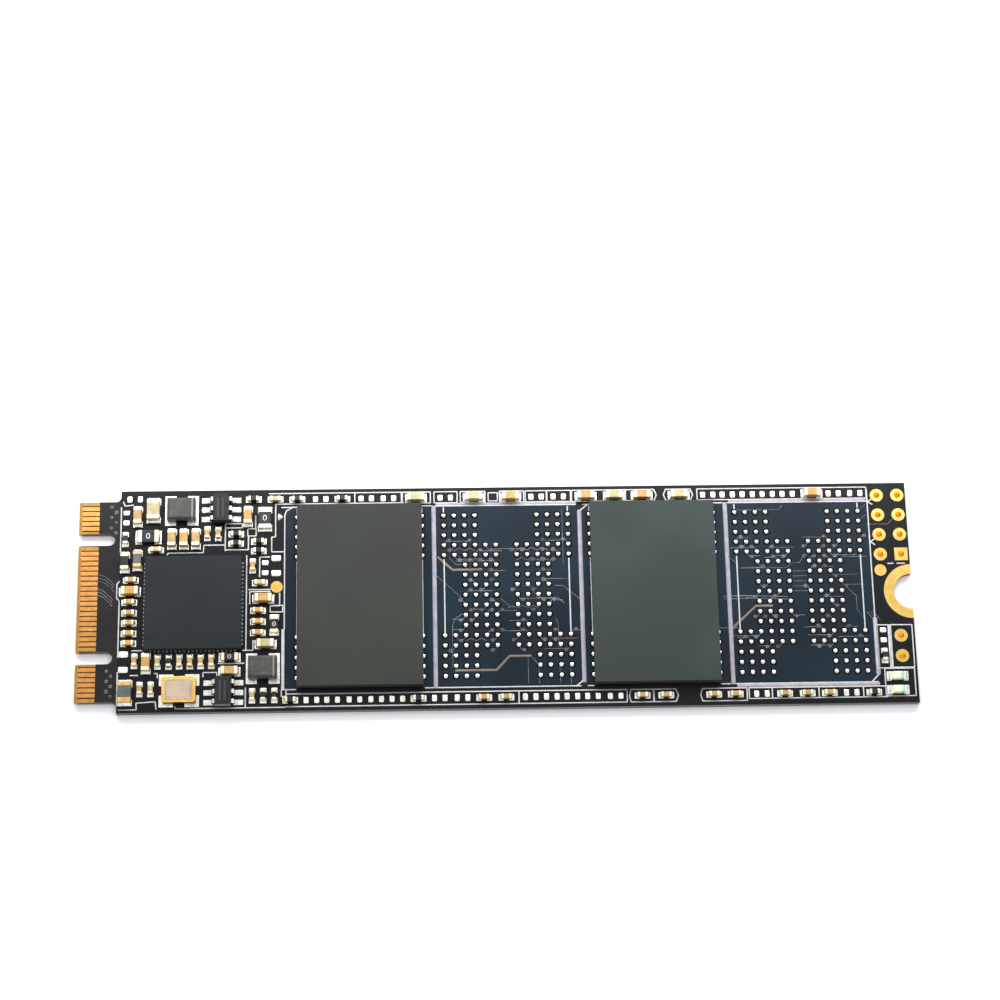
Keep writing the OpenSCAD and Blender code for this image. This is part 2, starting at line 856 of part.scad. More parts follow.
module bead_ends() {
    color("#dcb46c") chip_ends(["bead"]);
}

module led_bases() {
    color("#e8e6d2")
    for (p = LEDS)
        at(p[0], p[1], board_t + pad_t) block(LED[0] - 2 * LED[3], LED[1], led_base_h);
}

module led_lenses() {
    color("#eeeab8")
    for (p = LEDS)
        at(p[0], p[1], board_t + pad_t + led_base_h)
            intersection() {
                moulded(led_lens_l, LED[1], LED[2] - led_base_h, 0.01, 0.08);
                block(led_lens_l, LED[1], 1);
            }
}

module led_ends() {
    color("#e4d9a8")
    for (p = LEDS, side = [-1, 1])
        at(p[0] + side * (LED[0] - LED[3]) / 2, p[1], board_t + pad_t)
            block(LED[3], LED[1], led_base_h);
}

circuit_board();
edge_contacts_top();
edge_contacts_bottom();
screw_notch_ring();
header_plated_holes();
jumper_plated_holes();
gold_dots();
bare_pads();
solder_joints();
controller_body();
controller_leads();
flash_chip_inner();
flash_chip_outer();
flash_balls_inner();
flash_balls_outer();
spare_bumps();
bare_site_bumps_inner();
bare_site_bumps_outer();
crystal_base();
crystal_rim();
crystal_lid();
coil_bodies();
coil_terminals();
regulator_bodies();
regulator_leads();
bead_bodies();
bead_ends();
led_bases();
led_lenses();
led_ends();
capacitor_bodies_tan();
capacitor_bodies_orange();
capacitor_bodies_pale();
capacitor_ends();
resistor_bodies();
resistor_ends();
link_bodies();
link_ends();
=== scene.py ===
# %% [markdown]
# # A gumstick solid state drive
# The drive is a slim black circuit board with a gold card edge at one end and a half-round screw
# notch at the other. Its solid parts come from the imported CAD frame, at their real size. This
# lesson adds what gives a board its look: the finish of every part, the white print, the copper
# tracks that show as low ridges under the black mask, and the rounded lumps of solder.

# %% Load the frame
import math
import random

import bmesh
import bpy
from mathutils import Matrix, Vector


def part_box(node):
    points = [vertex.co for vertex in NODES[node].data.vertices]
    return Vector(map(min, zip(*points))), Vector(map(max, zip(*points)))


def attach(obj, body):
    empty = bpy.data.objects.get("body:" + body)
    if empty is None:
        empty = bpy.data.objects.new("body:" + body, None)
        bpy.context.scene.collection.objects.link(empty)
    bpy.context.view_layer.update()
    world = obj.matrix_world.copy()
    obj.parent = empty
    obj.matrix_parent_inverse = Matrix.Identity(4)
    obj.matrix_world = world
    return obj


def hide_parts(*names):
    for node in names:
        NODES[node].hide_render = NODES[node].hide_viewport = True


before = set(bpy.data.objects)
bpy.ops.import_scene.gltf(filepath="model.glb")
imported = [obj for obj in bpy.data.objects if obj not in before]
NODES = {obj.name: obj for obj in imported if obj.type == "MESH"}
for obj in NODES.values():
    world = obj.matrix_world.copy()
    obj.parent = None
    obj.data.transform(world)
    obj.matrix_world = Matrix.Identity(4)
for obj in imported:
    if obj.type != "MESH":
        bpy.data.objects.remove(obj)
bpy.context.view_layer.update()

MM = 0.001
BOARD_LOW, BOARD_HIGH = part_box("circuit_board")
EDGE = BOARD_LOW.x
TOP = BOARD_HIGH.z
BOARD_L = (BOARD_HIGH.x - BOARD_LOW.x) / MM
BOARD_W = (BOARD_HIGH.y - BOARD_LOW.y) / MM
print(f"board {BOARD_L:.2f} x {BOARD_W:.2f} mm, parts side at {TOP / MM:.2f} mm")


# %% [markdown]
# ## Places on the board
# A board is drawn in two numbers: u runs from the contact edge to the screw notch, and v from the
# centreline to either side. Every line below is written in those two numbers, in millimetres,
# and this one function turns them into the frame's metres.

# %% From board places to the frame
def spot(u, v, lift=0.0):
    return Vector((EDGE + u * MM, v * MM, TOP + lift * MM))


def to_u(x):
    return (x - EDGE) / MM


def islands(name):
    """The separate solids of one CAD node, each as its low and its high corner."""
    shape = bmesh.new()
    shape.from_mesh(NODES[name].data)
    shape.transform(NODES[name].matrix_world)
    bmesh.ops.remove_doubles(shape, verts=shape.verts, dist=0.0005 * MM)
    left, found = set(shape.verts), []
    while left:
        front, group = [left.pop()], []
        while front:
            vert = front.pop()
            group.append(vert.co.copy())
            for edge in vert.link_edges:
                other = edge.other_vert(vert)
                if other in left:
                    left.remove(other)
                    front.append(other)
        low = Vector([min(p[axis] for p in group) for axis in range(3)])
        high = Vector([max(p[axis] for p in group) for axis in range(3)])
        found.append((low, high))
    shape.free()
    return sorted(found, key=lambda pair: tuple(pair[0]))


# %% [markdown]
# ## The camera
# The photograph looks down on the board from a hand's height, a little from the front. The place
# and the two directions below were worked out from the corners of the board in the picture. A
# camera looks along its own -Z, so its matrix has the right-hand axis, the up axis and the
# reversed viewing direction as columns.

# %% Camera
CAMERA_AT = Vector((-7.34, -71.04, 242.92)) * MM
CAMERA_LOOK = Vector((0.0309, 0.3162, -0.9482)).normalized()
CAMERA_RIGHT = Vector((0.9995, -0.0206, 0.0257))
SENSOR_W = 36.0
PHOTO_W = 1000
FOCAL_PX = 2635

right = (CAMERA_RIGHT - CAMERA_RIGHT.dot(CAMERA_LOOK) * CAMERA_LOOK).normalized()
up = right.cross(CAMERA_LOOK)
turn = Matrix((right, up, -CAMERA_LOOK)).transposed()
camera_data = bpy.data.cameras.new("camera")
camera_data.sensor_width = SENSOR_W
camera_data.lens = FOCAL_PX / PHOTO_W * SENSOR_W
camera_data.clip_start = 0.005
camera = bpy.data.objects.new("camera", camera_data)
camera.matrix_world = Matrix.Translation(CAMERA_AT) @ turn.to_4x4()
bpy.context.scene.collection.objects.link(camera)
bpy.context.scene.camera = camera
bpy.context.scene.view_settings.view_transform = "Standard"
print(f"camera lens {camera_data.lens:.1f} mm")


# %% [markdown]
# ## Short calls for node trees
# Materials and Geometry Nodes are both trees of nodes. A small class keeps the script readable:
# one call adds a node with its settings and what feeds its sockets, and others do sums, mixes and
# steps. A value that is a socket becomes a link, and any other value is written on the socket.

# %% Node tree helper
class Graph:
    def __init__(self, tree):
        self.tree = tree

    def feed(self, socket, value):
        if isinstance(value, bpy.types.NodeSocket):
            self.tree.links.new(value, socket)
        else:
            socket.default_value = value

    def node(self, kind, feeds=None, **settings):
        made = self.tree.nodes.new(kind)
        for name, value in settings.items():
            setattr(made, name, value)
        for name, value in (feeds or {}).items():
            self.feed(made.inputs[name], value)
        return made

    def math(self, operation, *values):
        made = self.node("ShaderNodeMath", operation=operation)
        for socket, value in zip(made.inputs, values):
            self.feed(socket, value)
        return made.outputs[0]

    def mix(self, factor, a, b):
        made = self.node("ShaderNodeMix", data_type="RGBA", clamp_factor=True)
        sockets = [s for s in made.inputs if s.enabled]
        for socket, value in zip(sockets, (factor, a, b)):
            self.feed(socket, value)
        return [s for s in made.outputs if s.enabled][0]

    def step(self, value, low, high):
        """0 below low and 1 above high, with a soft change between."""
        made = self.node("ShaderNodeMapRange", interpolation_type="SMOOTHSTEP")
        for name, number in (("Value", value), ("From Min", low), ("From Max", high)):
            self.feed(made.inputs[name], number)
        return made.outputs[0]

    def between(self, value, low, high, soft):
        rise = self.step(value, low - soft, low + soft)
        fall = self.step(value, high - soft, high + soft)
        return self.math("SUBTRACT", rise, fall)

    def place(self):
        """The point in Object coordinates, which stay fixed to the part."""
        return self.node("ShaderNodeTexCoord").outputs["Object"]

    def split(self, vector):
        return self.node("ShaderNodeSeparateXYZ", {"Vector": vector}).outputs

    def upward(self):
        """1 on a face that looks up, 0 on a wall and -1 on a face that looks down."""
        return self.split(self.node("ShaderNodeNewGeometry").outputs["Normal"])["Z"]


def paint(red, green, blue):
    """A colour as the eye sees it, 0 to 255, as the linear colour that Blender works with."""
    def linear(c):
        c = c / 255
        return c / 12.92 if c <= 0.04045 else ((c + 0.055) / 1.055) ** 2.4
    return (linear(red), linear(green), linear(blue), 1.0)


def patch(g, split, low, high, soft=0.02):
    """1 inside a rectangle on the board, seen from above."""
    across = g.between(split["X"], low[0], high[0], soft * MM)
    along = g.between(split["Y"], low[1], high[1], soft * MM)
    return g.math("MULTIPLY", across, along)


def patches(g, boxes, soft=0.02):
    """1 inside any of several rectangles."""
    split = g.split(g.place())
    total = patch(g, split, *boxes[0], soft)
    for box in boxes[1:]:
        total = g.math("MAXIMUM", total, patch(g, split, *box, soft))
    return total


# %% [markdown]
# ## Light, floor and background
# The photograph was taken on white paper under soft light from the far side, so each part has a
# bright top and a dark near side. A long narrow lamp close behind the board does that, a weak
# large one shines up from below, and the world fills the rest. The world is white for the camera
# and for reflections, and plain soft light for everything else. The floor shows to the camera
# only from above. All other rays pass through it, so that the underside is lit as well and can be
# looked at from below. A faint glow keeps the paper white, and an ambient occlusion node takes it
# away close to the board, where the paper is in shade. Under the plated holes the floor is
# tinted, as if lit off their gold walls.

# %% World
WHITE = (1.0, 1.0, 1.0, 1.0)
FILL_LIGHT = 0.27
world = bpy.data.worlds.new("paper_white")
world.use_nodes = True
world.node_tree.nodes.clear()
air = Graph(world.node_tree)
rays = air.node("ShaderNodeLightPath").outputs
seen = air.math("MAXIMUM", rays["Is Camera Ray"], rays["Is Glossy Ray"])
seen = air.math("MAXIMUM", seen, rays["Is Transmission Ray"])
level = air.math("MULTIPLY_ADD", seen, 1 - FILL_LIGHT, FILL_LIGHT)
background = air.node("ShaderNodeBackground", {"Color": WHITE, "Strength": level})
air.node("ShaderNodeOutputWorld", {"Surface": background.outputs[0]})
bpy.context.scene.world = world


# %% Lamps
def lamp(name, place, size, power, aim=(0, 0, 0)):
    data = bpy.data.lights.new(name, "AREA")
    data.shape = "RECTANGLE"
    data.size, data.size_y = size
    data.energy = power
    thing = bpy.data.objects.new(name, data)
    thing.location = place
    thing.rotation_euler = (Vector(aim) - Vector(place)).to_track_quat("-Z", "Y").to_euler()
    thing.visible_camera = False
    bpy.context.scene.collection.objects.link(thing)
    return thing


lamp("window_light", place=(0.0, 0.040, 0.042), size=(0.15, 0.024), power=0.064)
lamp("low_bounce", place=(0.10, -0.30, -0.45), size=(0.5, 0.5), power=1.9)


# %% Floor
FLOOR_HALF = 1.5
FLOOR_DROP = 0.02 * MM
PAPER_GLOW = 0.62
SHADE_REACH = 0.6 * MM
HOLE_GLOW = 0.4
PAPER = (0.97, 0.97, 0.985, 1.0)
PAPER_LIGHT = (0.93, 0.935, 1.0, 1.0)
OFF_GOLD = paint(250, 196, 92)


def floor_material():
    made = bpy.data.materials.new("paper")
    made.use_nodes = True
    made.node_tree.nodes.clear()
    g = Graph(made.node_tree)
    shown = g.node("ShaderNodeLightPath").outputs["Is Camera Ray"]
    below = g.node("ShaderNodeNewGeometry").outputs["Backfacing"]
    solid = g.math("MULTIPLY", shown, g.math("SUBTRACT", 1.0, below))
    open_sky = g.node("ShaderNodeAmbientOcclusion", {"Distance": SHADE_REACH}).outputs["AO"]
    foot = patches(g, [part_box("header_plated_holes"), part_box("jumper_plated_holes")])
    matt = g.node("ShaderNodeBsdfDiffuse", {"Color": g.mix(foot, PAPER, OFF_GOLD)})
    paper_glow = g.math("MULTIPLY", open_sky, PAPER_GLOW)
    strength = g.math("MAXIMUM", paper_glow, g.math("MULTIPLY", foot, HOLE_GLOW))
    light = g.mix(foot, PAPER_LIGHT, OFF_GOLD)
    glow = g.node("ShaderNodeEmission", {"Color": light, "Strength": strength})
    sheet = g.node("ShaderNodeAddShader")
    g.feed(sheet.inputs[0], matt.outputs[0])
    g.feed(sheet.inputs[1], glow.outputs[0])
    clear = g.node("ShaderNodeBsdfTransparent")
    mixed = g.node("ShaderNodeMixShader")
    g.feed(mixed.inputs[0], solid)
    g.feed(mixed.inputs[1], clear.outputs[0])
    g.feed(mixed.inputs[2], sheet.outputs[0])
    g.node("ShaderNodeOutputMaterial", {"Surface": mixed.outputs[0]})
    return made


floor_mesh = bpy.data.meshes.new("paper_floor")
signs = ((-1, -1), (1, -1), (1, 1), (-1, 1))
corners = [(x * FLOOR_HALF, y * FLOOR_HALF, -FLOOR_DROP) for x, y in signs]
floor_mesh.from_pydata(corners, [], [(0, 1, 2, 3)])
floor_mesh.materials.append(floor_material())
floor = bpy.data.objects.new("paper_floor", floor_mesh)
bpy.context.scene.collection.objects.link(floor)


# %% [markdown]
# ## Surface effects that several finishes share
# Grain, blotches and specks turn up on nearly every finish of a board, only in other sizes. Each
# is a node group, built once. A group gives out only values and colours, and the shader itself
# stays in the material. All of them read Object coordinates, which stay fixed to the part.

# %% Shader groups
def shader_group(name, takes, gives):
    tree = bpy.data.node_groups.new(name, "ShaderNodeTree")
    for label, kind, value in takes:
        socket = tree.interface.new_socket(label, in_out="INPUT", socket_type=kind)
        socket.default_value = value
    for label, kind in gives:
        tree.interface.new_socket(label, in_out="OUTPUT", socket_type=kind)
    g = Graph(tree)
    return g, g.node("NodeGroupInput").outputs, g.node("NodeGroupOutput").inputs


def grain_group():
    """Fine noise of a stated size in millimetres, which may be drawn out along one axis."""
    g, takes, gives = shader_group(
        "grain",
        [("Size", "NodeSocketFloat", 0.05), ("Stretch", "NodeSocketVector", (1, 1, 1))],
        [("Value", "NodeSocketFloat")],
    )
    drawn = g.node("ShaderNodeVectorMath", operation="DIVIDE")
    g.feed(drawn.inputs[0], g.place())
    g.feed(drawn.inputs[1], takes["Stretch"])
    scale = g.math("DIVIDE", 1 / MM, takes["Size"])
    feeds = {"Vector": drawn.outputs[0], "Scale": scale, "Detail": 3.0}
    noise = g.node("ShaderNodeTexNoise", feeds)
    g.feed(gives["Value"], noise.outputs["Fac"])
    return g.tree


def blotch_group():
    """A colour that drifts softly to a second one, over a stated size in millimetres."""
    g, takes, gives = shader_group(
        "blotches",
        [
            ("Colour", "NodeSocketColor", WHITE),
            ("Second colour", "NodeSocketColor", WHITE),
            ("Size", "NodeSocketFloat", 2.0),
        ],
        [("Colour", "NodeSocketColor")],
    )
    scale = g.math("DIVIDE", 1 / MM, takes["Size"])
    noise = g.node("ShaderNodeTexNoise", {"Vector": g.place(), "Scale": scale, "Detail": 2.0})
    share = g.step(noise.outputs["Fac"], 0.35, 0.65)
    g.feed(gives["Colour"], g.mix(share, takes["Colour"], takes["Second colour"]))
    return g.tree


def speck_group():
    """Scattered round specks, such as dust or pits, as a mask."""
    g, takes, gives = shader_group(
        "specks",
        [("Spacing", "NodeSocketFloat", 1.0), ("Reach", "NodeSocketFloat", 0.05),
         ("Share", "NodeSocketFloat", 0.3)],
        [("Mask", "NodeSocketFloat")],
    )
    scale = g.math("DIVIDE", 1 / MM, takes["Spacing"])
    cells = g.node("ShaderNodeTexVoronoi", {"Vector": g.place(), "Scale": scale})
    near = g.math("LESS_THAN", cells.outputs["Distance"], takes["Reach"])
    dice = g.node("ShaderNodeSeparateColor", {"Color": cells.outputs["Color"]}).outputs["Red"]
    g.feed(gives["Mask"], g.math("MULTIPLY", near, g.math("LESS_THAN", dice, takes["Share"])))
    return g.tree


GRAIN, BLOTCHES, SPECKS = grain_group(), blotch_group(), speck_group()
print("shared groups:", [t.name for t in (GRAIN, BLOTCHES, SPECKS)])


# %% [markdown]
# ## A finish from a few numbers
# A moulded package, a ceramic chip and a tinned end differ in colour, gloss and grain, but they
# are built alike: a colour with soft blotches, a roughness that the grain varies, and a bump of
# the grain's real depth. The steady numbers are written on the Principled shader's own sockets.

# %% Material helper
def shared(g, group, **feeds):
    made = g.node("ShaderNodeGroup", node_tree=group)
    for name, value in feeds.items():
        g.feed(made.inputs[name.replace("_", " ").capitalize()], value)
    return made.outputs[0]


def blotched(g, colour, second, size):
    return shared(g, BLOTCHES, colour=paint(*colour), second_colour=paint(*second), size=size)


def blank(name):
    made = bpy.data.materials.new(name)
    made.use_nodes = True
    made.node_tree.nodes.clear()
    return made, Graph(made.node_tree)


def close(g, colour, roughness, normal=None, **steady):
    """Adds the Principled shader and the output. steady holds its other sockets."""
    shader = g.node("ShaderNodeBsdfPrincipled")
    g.feed(shader.inputs["Base Color"], colour)
    g.feed(shader.inputs["Roughness"], roughness)
    if normal:
        g.feed(shader.inputs["Normal"], normal)
    for key, value in steady.items():
        g.feed(shader.inputs[key.replace("_", " ")], value)
    g.node("ShaderNodeOutputMaterial", {"Surface": shader.outputs[0]})


def bumped(g, height, depth):
    """A bump of a real depth in millimetres."""
    return g.node("ShaderNodeBump", {"Height": height, "Distance": depth * MM}).outputs[0]


def rough_by(g, value, middle, swing):
    return g.math("MULTIPLY_ADD", value, 2 * swing, middle - swing)


def surface(name, colour, second, roughness, grain=0.05, depth=0.002, blotch=1.5, swing=0.06,
            stretch=(1, 1, 1), **steady):
    made, g = blank(name)
    tint = blotched(g, colour, second, blotch)
    noise = shared(g, GRAIN, size=grain, stretch=stretch)
    close(g, tint, rough_by(g, noise, roughness, swing), bumped(g, noise, depth), **steady)
    return made


# %% [markdown]
# ## The black mask and the bare laminate
# One board shows three materials. The faces carry a black mask, a shade lighter and bluer where a
# copper sheet lies under it. On the underside the mask is painted greyer, and bluer in the calm far
# half, and near the contacts it is painted a lighter grey: both are painted sheen. The cut sides
# are bare laminate, and so is the bevelled front strip, which the gold beside it tints. Between the
# gold contacts the mask is left out too, and those slots are bare laminate, painted a dark brown as
# painted shade of the narrow slot. All of this depends only on where a point is and which way it
# faces, so the material works it out.

# %% Mask material
BARE_EDGE_L = to_u(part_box("edge_contacts_top")[1].x)
FRONT_STRIP_L = to_u(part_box("edge_contacts_top")[0].x)
CONTACT_PITCH = 0.5
SLOT_W = 0.12
TONGUE_L = 4.0
CALM_FROM_U = 42.0
CALM_TO_U = 50.0
BANK_FROM_U = 19.9
BANK_TO_U = 76.3
BANK_V = 0.1
BANK_HALF_W = 9.05


def slot_mask(g, split, node, upper):
    """1 in the narrow slots between the contacts of one side of the board."""
    outermost = (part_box(node)[1].y / MM + SLOT_W / 2) / CONTACT_PITCH
    counted = g.math("SUBTRACT", g.math("DIVIDE", split["Y"], CONTACT_PITCH * MM), outermost - 0.5)
    apart = g.math("ABSOLUTE", g.math("SUBTRACT", g.math("FRACT", counted), 0.5))
    near = g.math("LESS_THAN", apart, SLOT_W / CONTACT_PITCH * 0.62)
    side = g.math("GREATER_THAN" if upper else "LESS_THAN", split["Z"], TOP / 2)
    return g.math("MULTIPLY", near, side)


def mask_material():
    made, g = blank("black_mask")
    split = g.split(g.place())
    upward = g.upward()
    u = g.math("DIVIDE", g.math("SUBTRACT", split["X"], EDGE), MM)
    v = g.math("ABSOLUTE", g.math("SUBTRACT", g.math("DIVIDE", split["Y"], MM), BANK_V))
    tail = blotched(g, (14, 15, 21), (10, 11, 16), 2.5)
    sheet = blotched(g, (22, 45, 58), (14, 31, 44), 9.0)
    along = g.between(u, BANK_FROM_U, BANK_TO_U, 0.1)
    outside = g.step(v, BANK_HALF_W - 0.1, BANK_HALF_W)
    bank = g.math("MULTIPLY", along, g.math("SUBTRACT", 1.0, outside))
    colour = g.mix(bank, tail, sheet)
    # Painted sheen: the underside is painted greyer than the top, and bluer in the calm far half.
    below = g.math("LESS_THAN", upward, -0.5)
    dense = blotched(g, (50, 51, 54), (44, 46, 50), 6.0)
    calm = blotched(g, (56, 65, 72), (49, 57, 64), 8.0)
    colour = g.mix(below, colour, g.mix(g.step(u, CALM_FROM_U, CALM_TO_U), dense, calm))
    # Painted sheen: near the contacts the mask is painted a lighter grey.
    tongue_sheen = blotched(g, (42, 40, 41), (36, 34, 36), 3.0)
    colour = g.mix(g.math("LESS_THAN", u, TONGUE_L), colour, tongue_sheen)
    weave = shared(g, GRAIN, size=0.22, stretch=(1.0, 3.0, 1.0))
    # Painted shade: the bare laminate in the slots between the contacts is painted dark brown.
    slots = blotched(g, (104, 62, 30), (76, 42, 20), 0.3)
    strip = blotched(g, (226, 174, 92), (210, 156, 74), 0.5)
    dark = g.math("MAXIMUM", slot_mask(g, split, "edge_contacts_top", True),
                  slot_mask(g, split, "edge_contacts_bottom", False))
    colour = g.mix(g.math("LESS_THAN", u, BARE_EDGE_L), colour, g.mix(dark, strip, slots))
    side = blotched(g, (66, 58, 46), (44, 39, 34), 0.2)
    walls = g.math("LESS_THAN", g.math("ABSOLUTE", upward), 0.5)
    colour = g.mix(walls, colour, side)
    colour = g.mix(g.math("LESS_THAN", u, FRONT_STRIP_L), colour, strip)
    peel = shared(g, GRAIN, size=0.35)
    rough = g.math("ADD", rough_by(g, peel, 0.36, 0.05), g.math("MULTIPLY", walls, 0.3))
    height = g.math("MULTIPLY_ADD", weave, 0.4, peel)
    close(g, colour, rough, bumped(g, height, 0.006), Specular_IOR_Level=0.2)
    return made


MASK = mask_material()


# %% [markdown]
# ## Gold
# The contacts are gold over nickel. Sockets leave fine scratches on them, all along the board, so
# their grain is drawn out in X. The rings and dots are the same gold without the scratches. Their
# walls, the inner wall of a plated hole among them, are painted a darker orange as painted shade.

# %% Gold materials
def contact_gold():
    made, g = blank("contact_gold")
    tint = blotched(g, (204, 147, 83), (192, 133, 69), 0.6)
    scratch = shared(g, GRAIN, size=0.03, stretch=(14.0, 1.0, 1.0))
    wear_and_highlight = g.mix(g.step(scratch, 0.56, 0.72), tint, paint(230, 178, 116))
    close(g, wear_and_highlight, rough_by(g, scratch, 0.36, 0.12), bumped(g, scratch, 0.0015), Metallic=1.0)
    return made


def pad_gold():
    made, g = blank("pad_gold")
    tint = blotched(g, (216, 186, 110), (205, 170, 88), 0.8)
    pits = shared(g, SPECKS, spacing=0.16, reach=0.2, share=0.25)
    noise = shared(g, GRAIN, size=0.05)
    tint = g.mix(g.math("MULTIPLY", pits, 0.45), tint, paint(196, 140, 60))
    # Painted shade: walls, such as the inside of a plated hole, are painted a darker orange.
    walls = g.math("LESS_THAN", g.math("ABSOLUTE", g.upward()), 0.5)
    tint = g.mix(walls, tint, paint(206, 134, 42))
    close(g, tint, rough_by(g, noise, 0.34, 0.08), bumped(g, noise, 0.002), Metallic=1.0,
          Specular_Tint=paint(250, 184, 84))
    return made


CONTACT_GOLD, PAD_GOLD = contact_gold(), pad_gold()

# %% [markdown]
# ## Tin and solder
# Solder and tinned ends are the brightest things on the board. They cooled from a melt, so they
# have soft waves rather than grain, with a little cream where flux is left.

# %% Tin materials
SOLDER = surface("solder", (246, 246, 242), (220, 218, 206), 0.26, grain=0.14, depth=0.03,
                 blotch=0.5, Metallic=1.0)


def bump_solder():
    """Solder of a ball: bright on top, with its steep side painted dark as a painted reflection of
    the dark board and painted shade.
    """
    made, g = blank("bump_solder")
    tint = blotched(g, (255, 255, 252), (240, 238, 230), 0.4)
    # Painted reflection and shade: the steep side is painted dark by its slope.
    tint = g.mix(g.step(g.upward(), 0.5, 0.86), paint(66, 66, 72), tint)
    noise = shared(g, GRAIN, size=0.14)
    close(g, tint, rough_by(g, noise, 0.24, 0.06), bumped(g, noise, 0.008), Metallic=1.0)
    return made


BUMP_SOLDER = bump_solder()
TINNED_PAD = surface("tinned_pad", (252, 252, 248), (230, 228, 216), 0.26, grain=0.2, depth=0.02,
                     blotch=0.6, Metallic=1.0)
TINNED_END = surface("tinned_end", (240, 234, 208), (226, 216, 184), 0.40, grain=0.07,
                     depth=0.006, blotch=0.5, Metallic=0.85)
TINNED_LEAD = surface("tinned_lead", (226, 226, 222), (204, 204, 200), 0.34, grain=0.06,
                      depth=0.004, blotch=0.7, Metallic=1.0)
CONTROLLER_LEAD = surface("controller_lead", (150, 152, 154), (118, 120, 124), 0.4, grain=0.06,
                          depth=0.004, blotch=0.5, Metallic=1.0)
GILT_END = surface("gilt_end", (232, 190, 116), (210, 164, 92), 0.40, grain=0.06, depth=0.004,
                   blotch=0.5, Metallic=0.85)

# %% [markdown]
# ## Moulded packages and ceramics
# A moulded package is black resin full of glass dust: matt, very slightly uneven, and greyer than
# the board. Fired ceramic is smoother and warmer, and its colour depends on its mix.

# %% Package and ceramic materials
CONTROLLER_MOULD = surface("controller_mould", (44, 51, 54), (40, 46, 49), 0.5, grain=0.045,
                           depth=0.0035, blotch=6.0, Specular_IOR_Level=0.15)


def regulator_mould():
    """Black resin, greyer along two stripes of its top."""
    made, g = blank("regulator_mould")
    tint = blotched(g, (34, 39, 38), (26, 30, 30), 0.8)
    stripes = []
    for low, high in islands("regulator_bodies"):
        middle, reach = (low.x + high.x) / 2, 0.16 * (high.y - low.y)
        for side in (-0.26, 0.2):
            edges = middle + (side - 0.07) * MM, middle + (side + 0.07) * MM
            stripes.append(((edges[0], low.y + reach), (edges[1], high.y - reach)))
    tint = g.mix(g.math("MULTIPLY", patches(g, stripes, 0.04), 0.6), tint, paint(104, 110, 108))
    noise = shared(g, GRAIN, size=0.04)
    close(g, tint, rough_by(g, noise, 0.46, 0.06), bumped(g, noise, 0.003), Specular_IOR_Level=0.3)
    return made


def coil_mould():
    """Pressed iron powder with faint streaks, a pale painted highlight line near the right end, as
    off a bevel, and painted shade on the end itself.
    """
    made, g = blank("coil_mould")
    tint = blotched(g, (80, 77, 74), (68, 66, 64), 0.7)
    streak = shared(g, GRAIN, size=0.07, stretch=(14.0, 1.0, 1.0))
    tint = g.mix(g.math("MULTIPLY", g.step(streak, 0.52, 0.7), 0.35), tint, paint(136, 132, 126))
    coils = islands("coil_bodies")
    # Painted highlight: a pale line near the right end. Painted shade: a dark band over the end.
    wear_and_highlight = [((high.x - 0.36 * MM, low.y), (high.x - 0.22 * MM, high.y)) for low, high in coils]
    dark = [((high.x - 0.2 * MM, low.y), (high.x + 0.1 * MM, high.y)) for low, high in coils]
    tint = g.mix(g.math("MULTIPLY", patches(g, dark, 0.04), 0.5), tint, paint(50, 50, 50))
    tint = g.mix(g.math("MULTIPLY", patches(g, wear_and_highlight, 0.03), 0.75), tint, paint(176, 174, 168))
    close(g, tint, rough_by(g, streak, 0.5, 0.08), bumped(g, streak, 0.006))
    return made


REGULATOR_MOULD, COIL_MOULD = regulator_mould(), coil_mould()
BEAD_CERAMIC = surface("bead_ceramic", (118, 121, 122), (100, 104, 106), 0.5, grain=0.05,
                       depth=0.004, blotch=0.6)
RESISTOR_COAT = surface("resistor_coat", (28, 30, 34), (22, 24, 27), 0.32, grain=0.06,
                        depth=0.003, blotch=0.5)
CERAMIC_TAN = surface("ceramic_tan", (228, 192, 134), (212, 172, 112), 0.34, grain=0.05,
                      depth=0.004, blotch=0.5)
CERAMIC_ORANGE = surface("ceramic_orange", (244, 192, 118), (232, 172, 96), 0.34, grain=0.05,
                         depth=0.004, blotch=0.5)
CERAMIC_PALE = surface("ceramic_pale", (232, 218, 166), (214, 198, 146), 0.34, grain=0.05,
                       depth=0.004, blotch=0.5)
CRYSTAL_CERAMIC = surface("crystal_ceramic", (62, 56, 50), (48, 44, 40), 0.5, grain=0.05,
                          depth=0.004, blotch=0.6)
CRYSTAL_GOLD = surface("crystal_gold", (250, 208, 112), (240, 190, 88), 0.28, grain=0.08,
                       depth=0.003, blotch=0.6, Metallic=1.0)


def crystal_lid():
    """A welded metal lid with a shallow pressed line a little inside its edge."""
    made, g = blank("crystal_lid")
    tint = blotched(g, (206, 186, 164), (192, 170, 150), 1.2)
    low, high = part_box("crystal_lid")
    outer, inner = [
        patches(g, [((low.x + inset, low.y + inset), (high.x - inset, high.y - inset))])
        for inset in (0.13 * MM, 0.2 * MM)
    ]
    line = g.math("SUBTRACT", outer, inner)
    tint = g.mix(g.math("MULTIPLY", line, 0.6), tint, paint(150, 116, 96))
    noise = shared(g, GRAIN, size=0.07)
    height = g.math("SUBTRACT", g.math("MULTIPLY", noise, 0.15), line)
    close(g, tint, rough_by(g, noise, 0.42, 0.05), bumped(g, height, 0.015), Metallic=0.7)
    return made


CRYSTAL_LID = crystal_lid()
LAMP_BASE = surface("lamp_base", (226, 224, 206), (212, 208, 186), 0.45, grain=0.06,
                    depth=0.003, blotch=0.4)
LAMP_END = surface("lamp_end", (254, 254, 250), (242, 241, 232), 0.34, grain=0.06,
                   depth=0.004, blotch=0.4, Metallic=0.55)


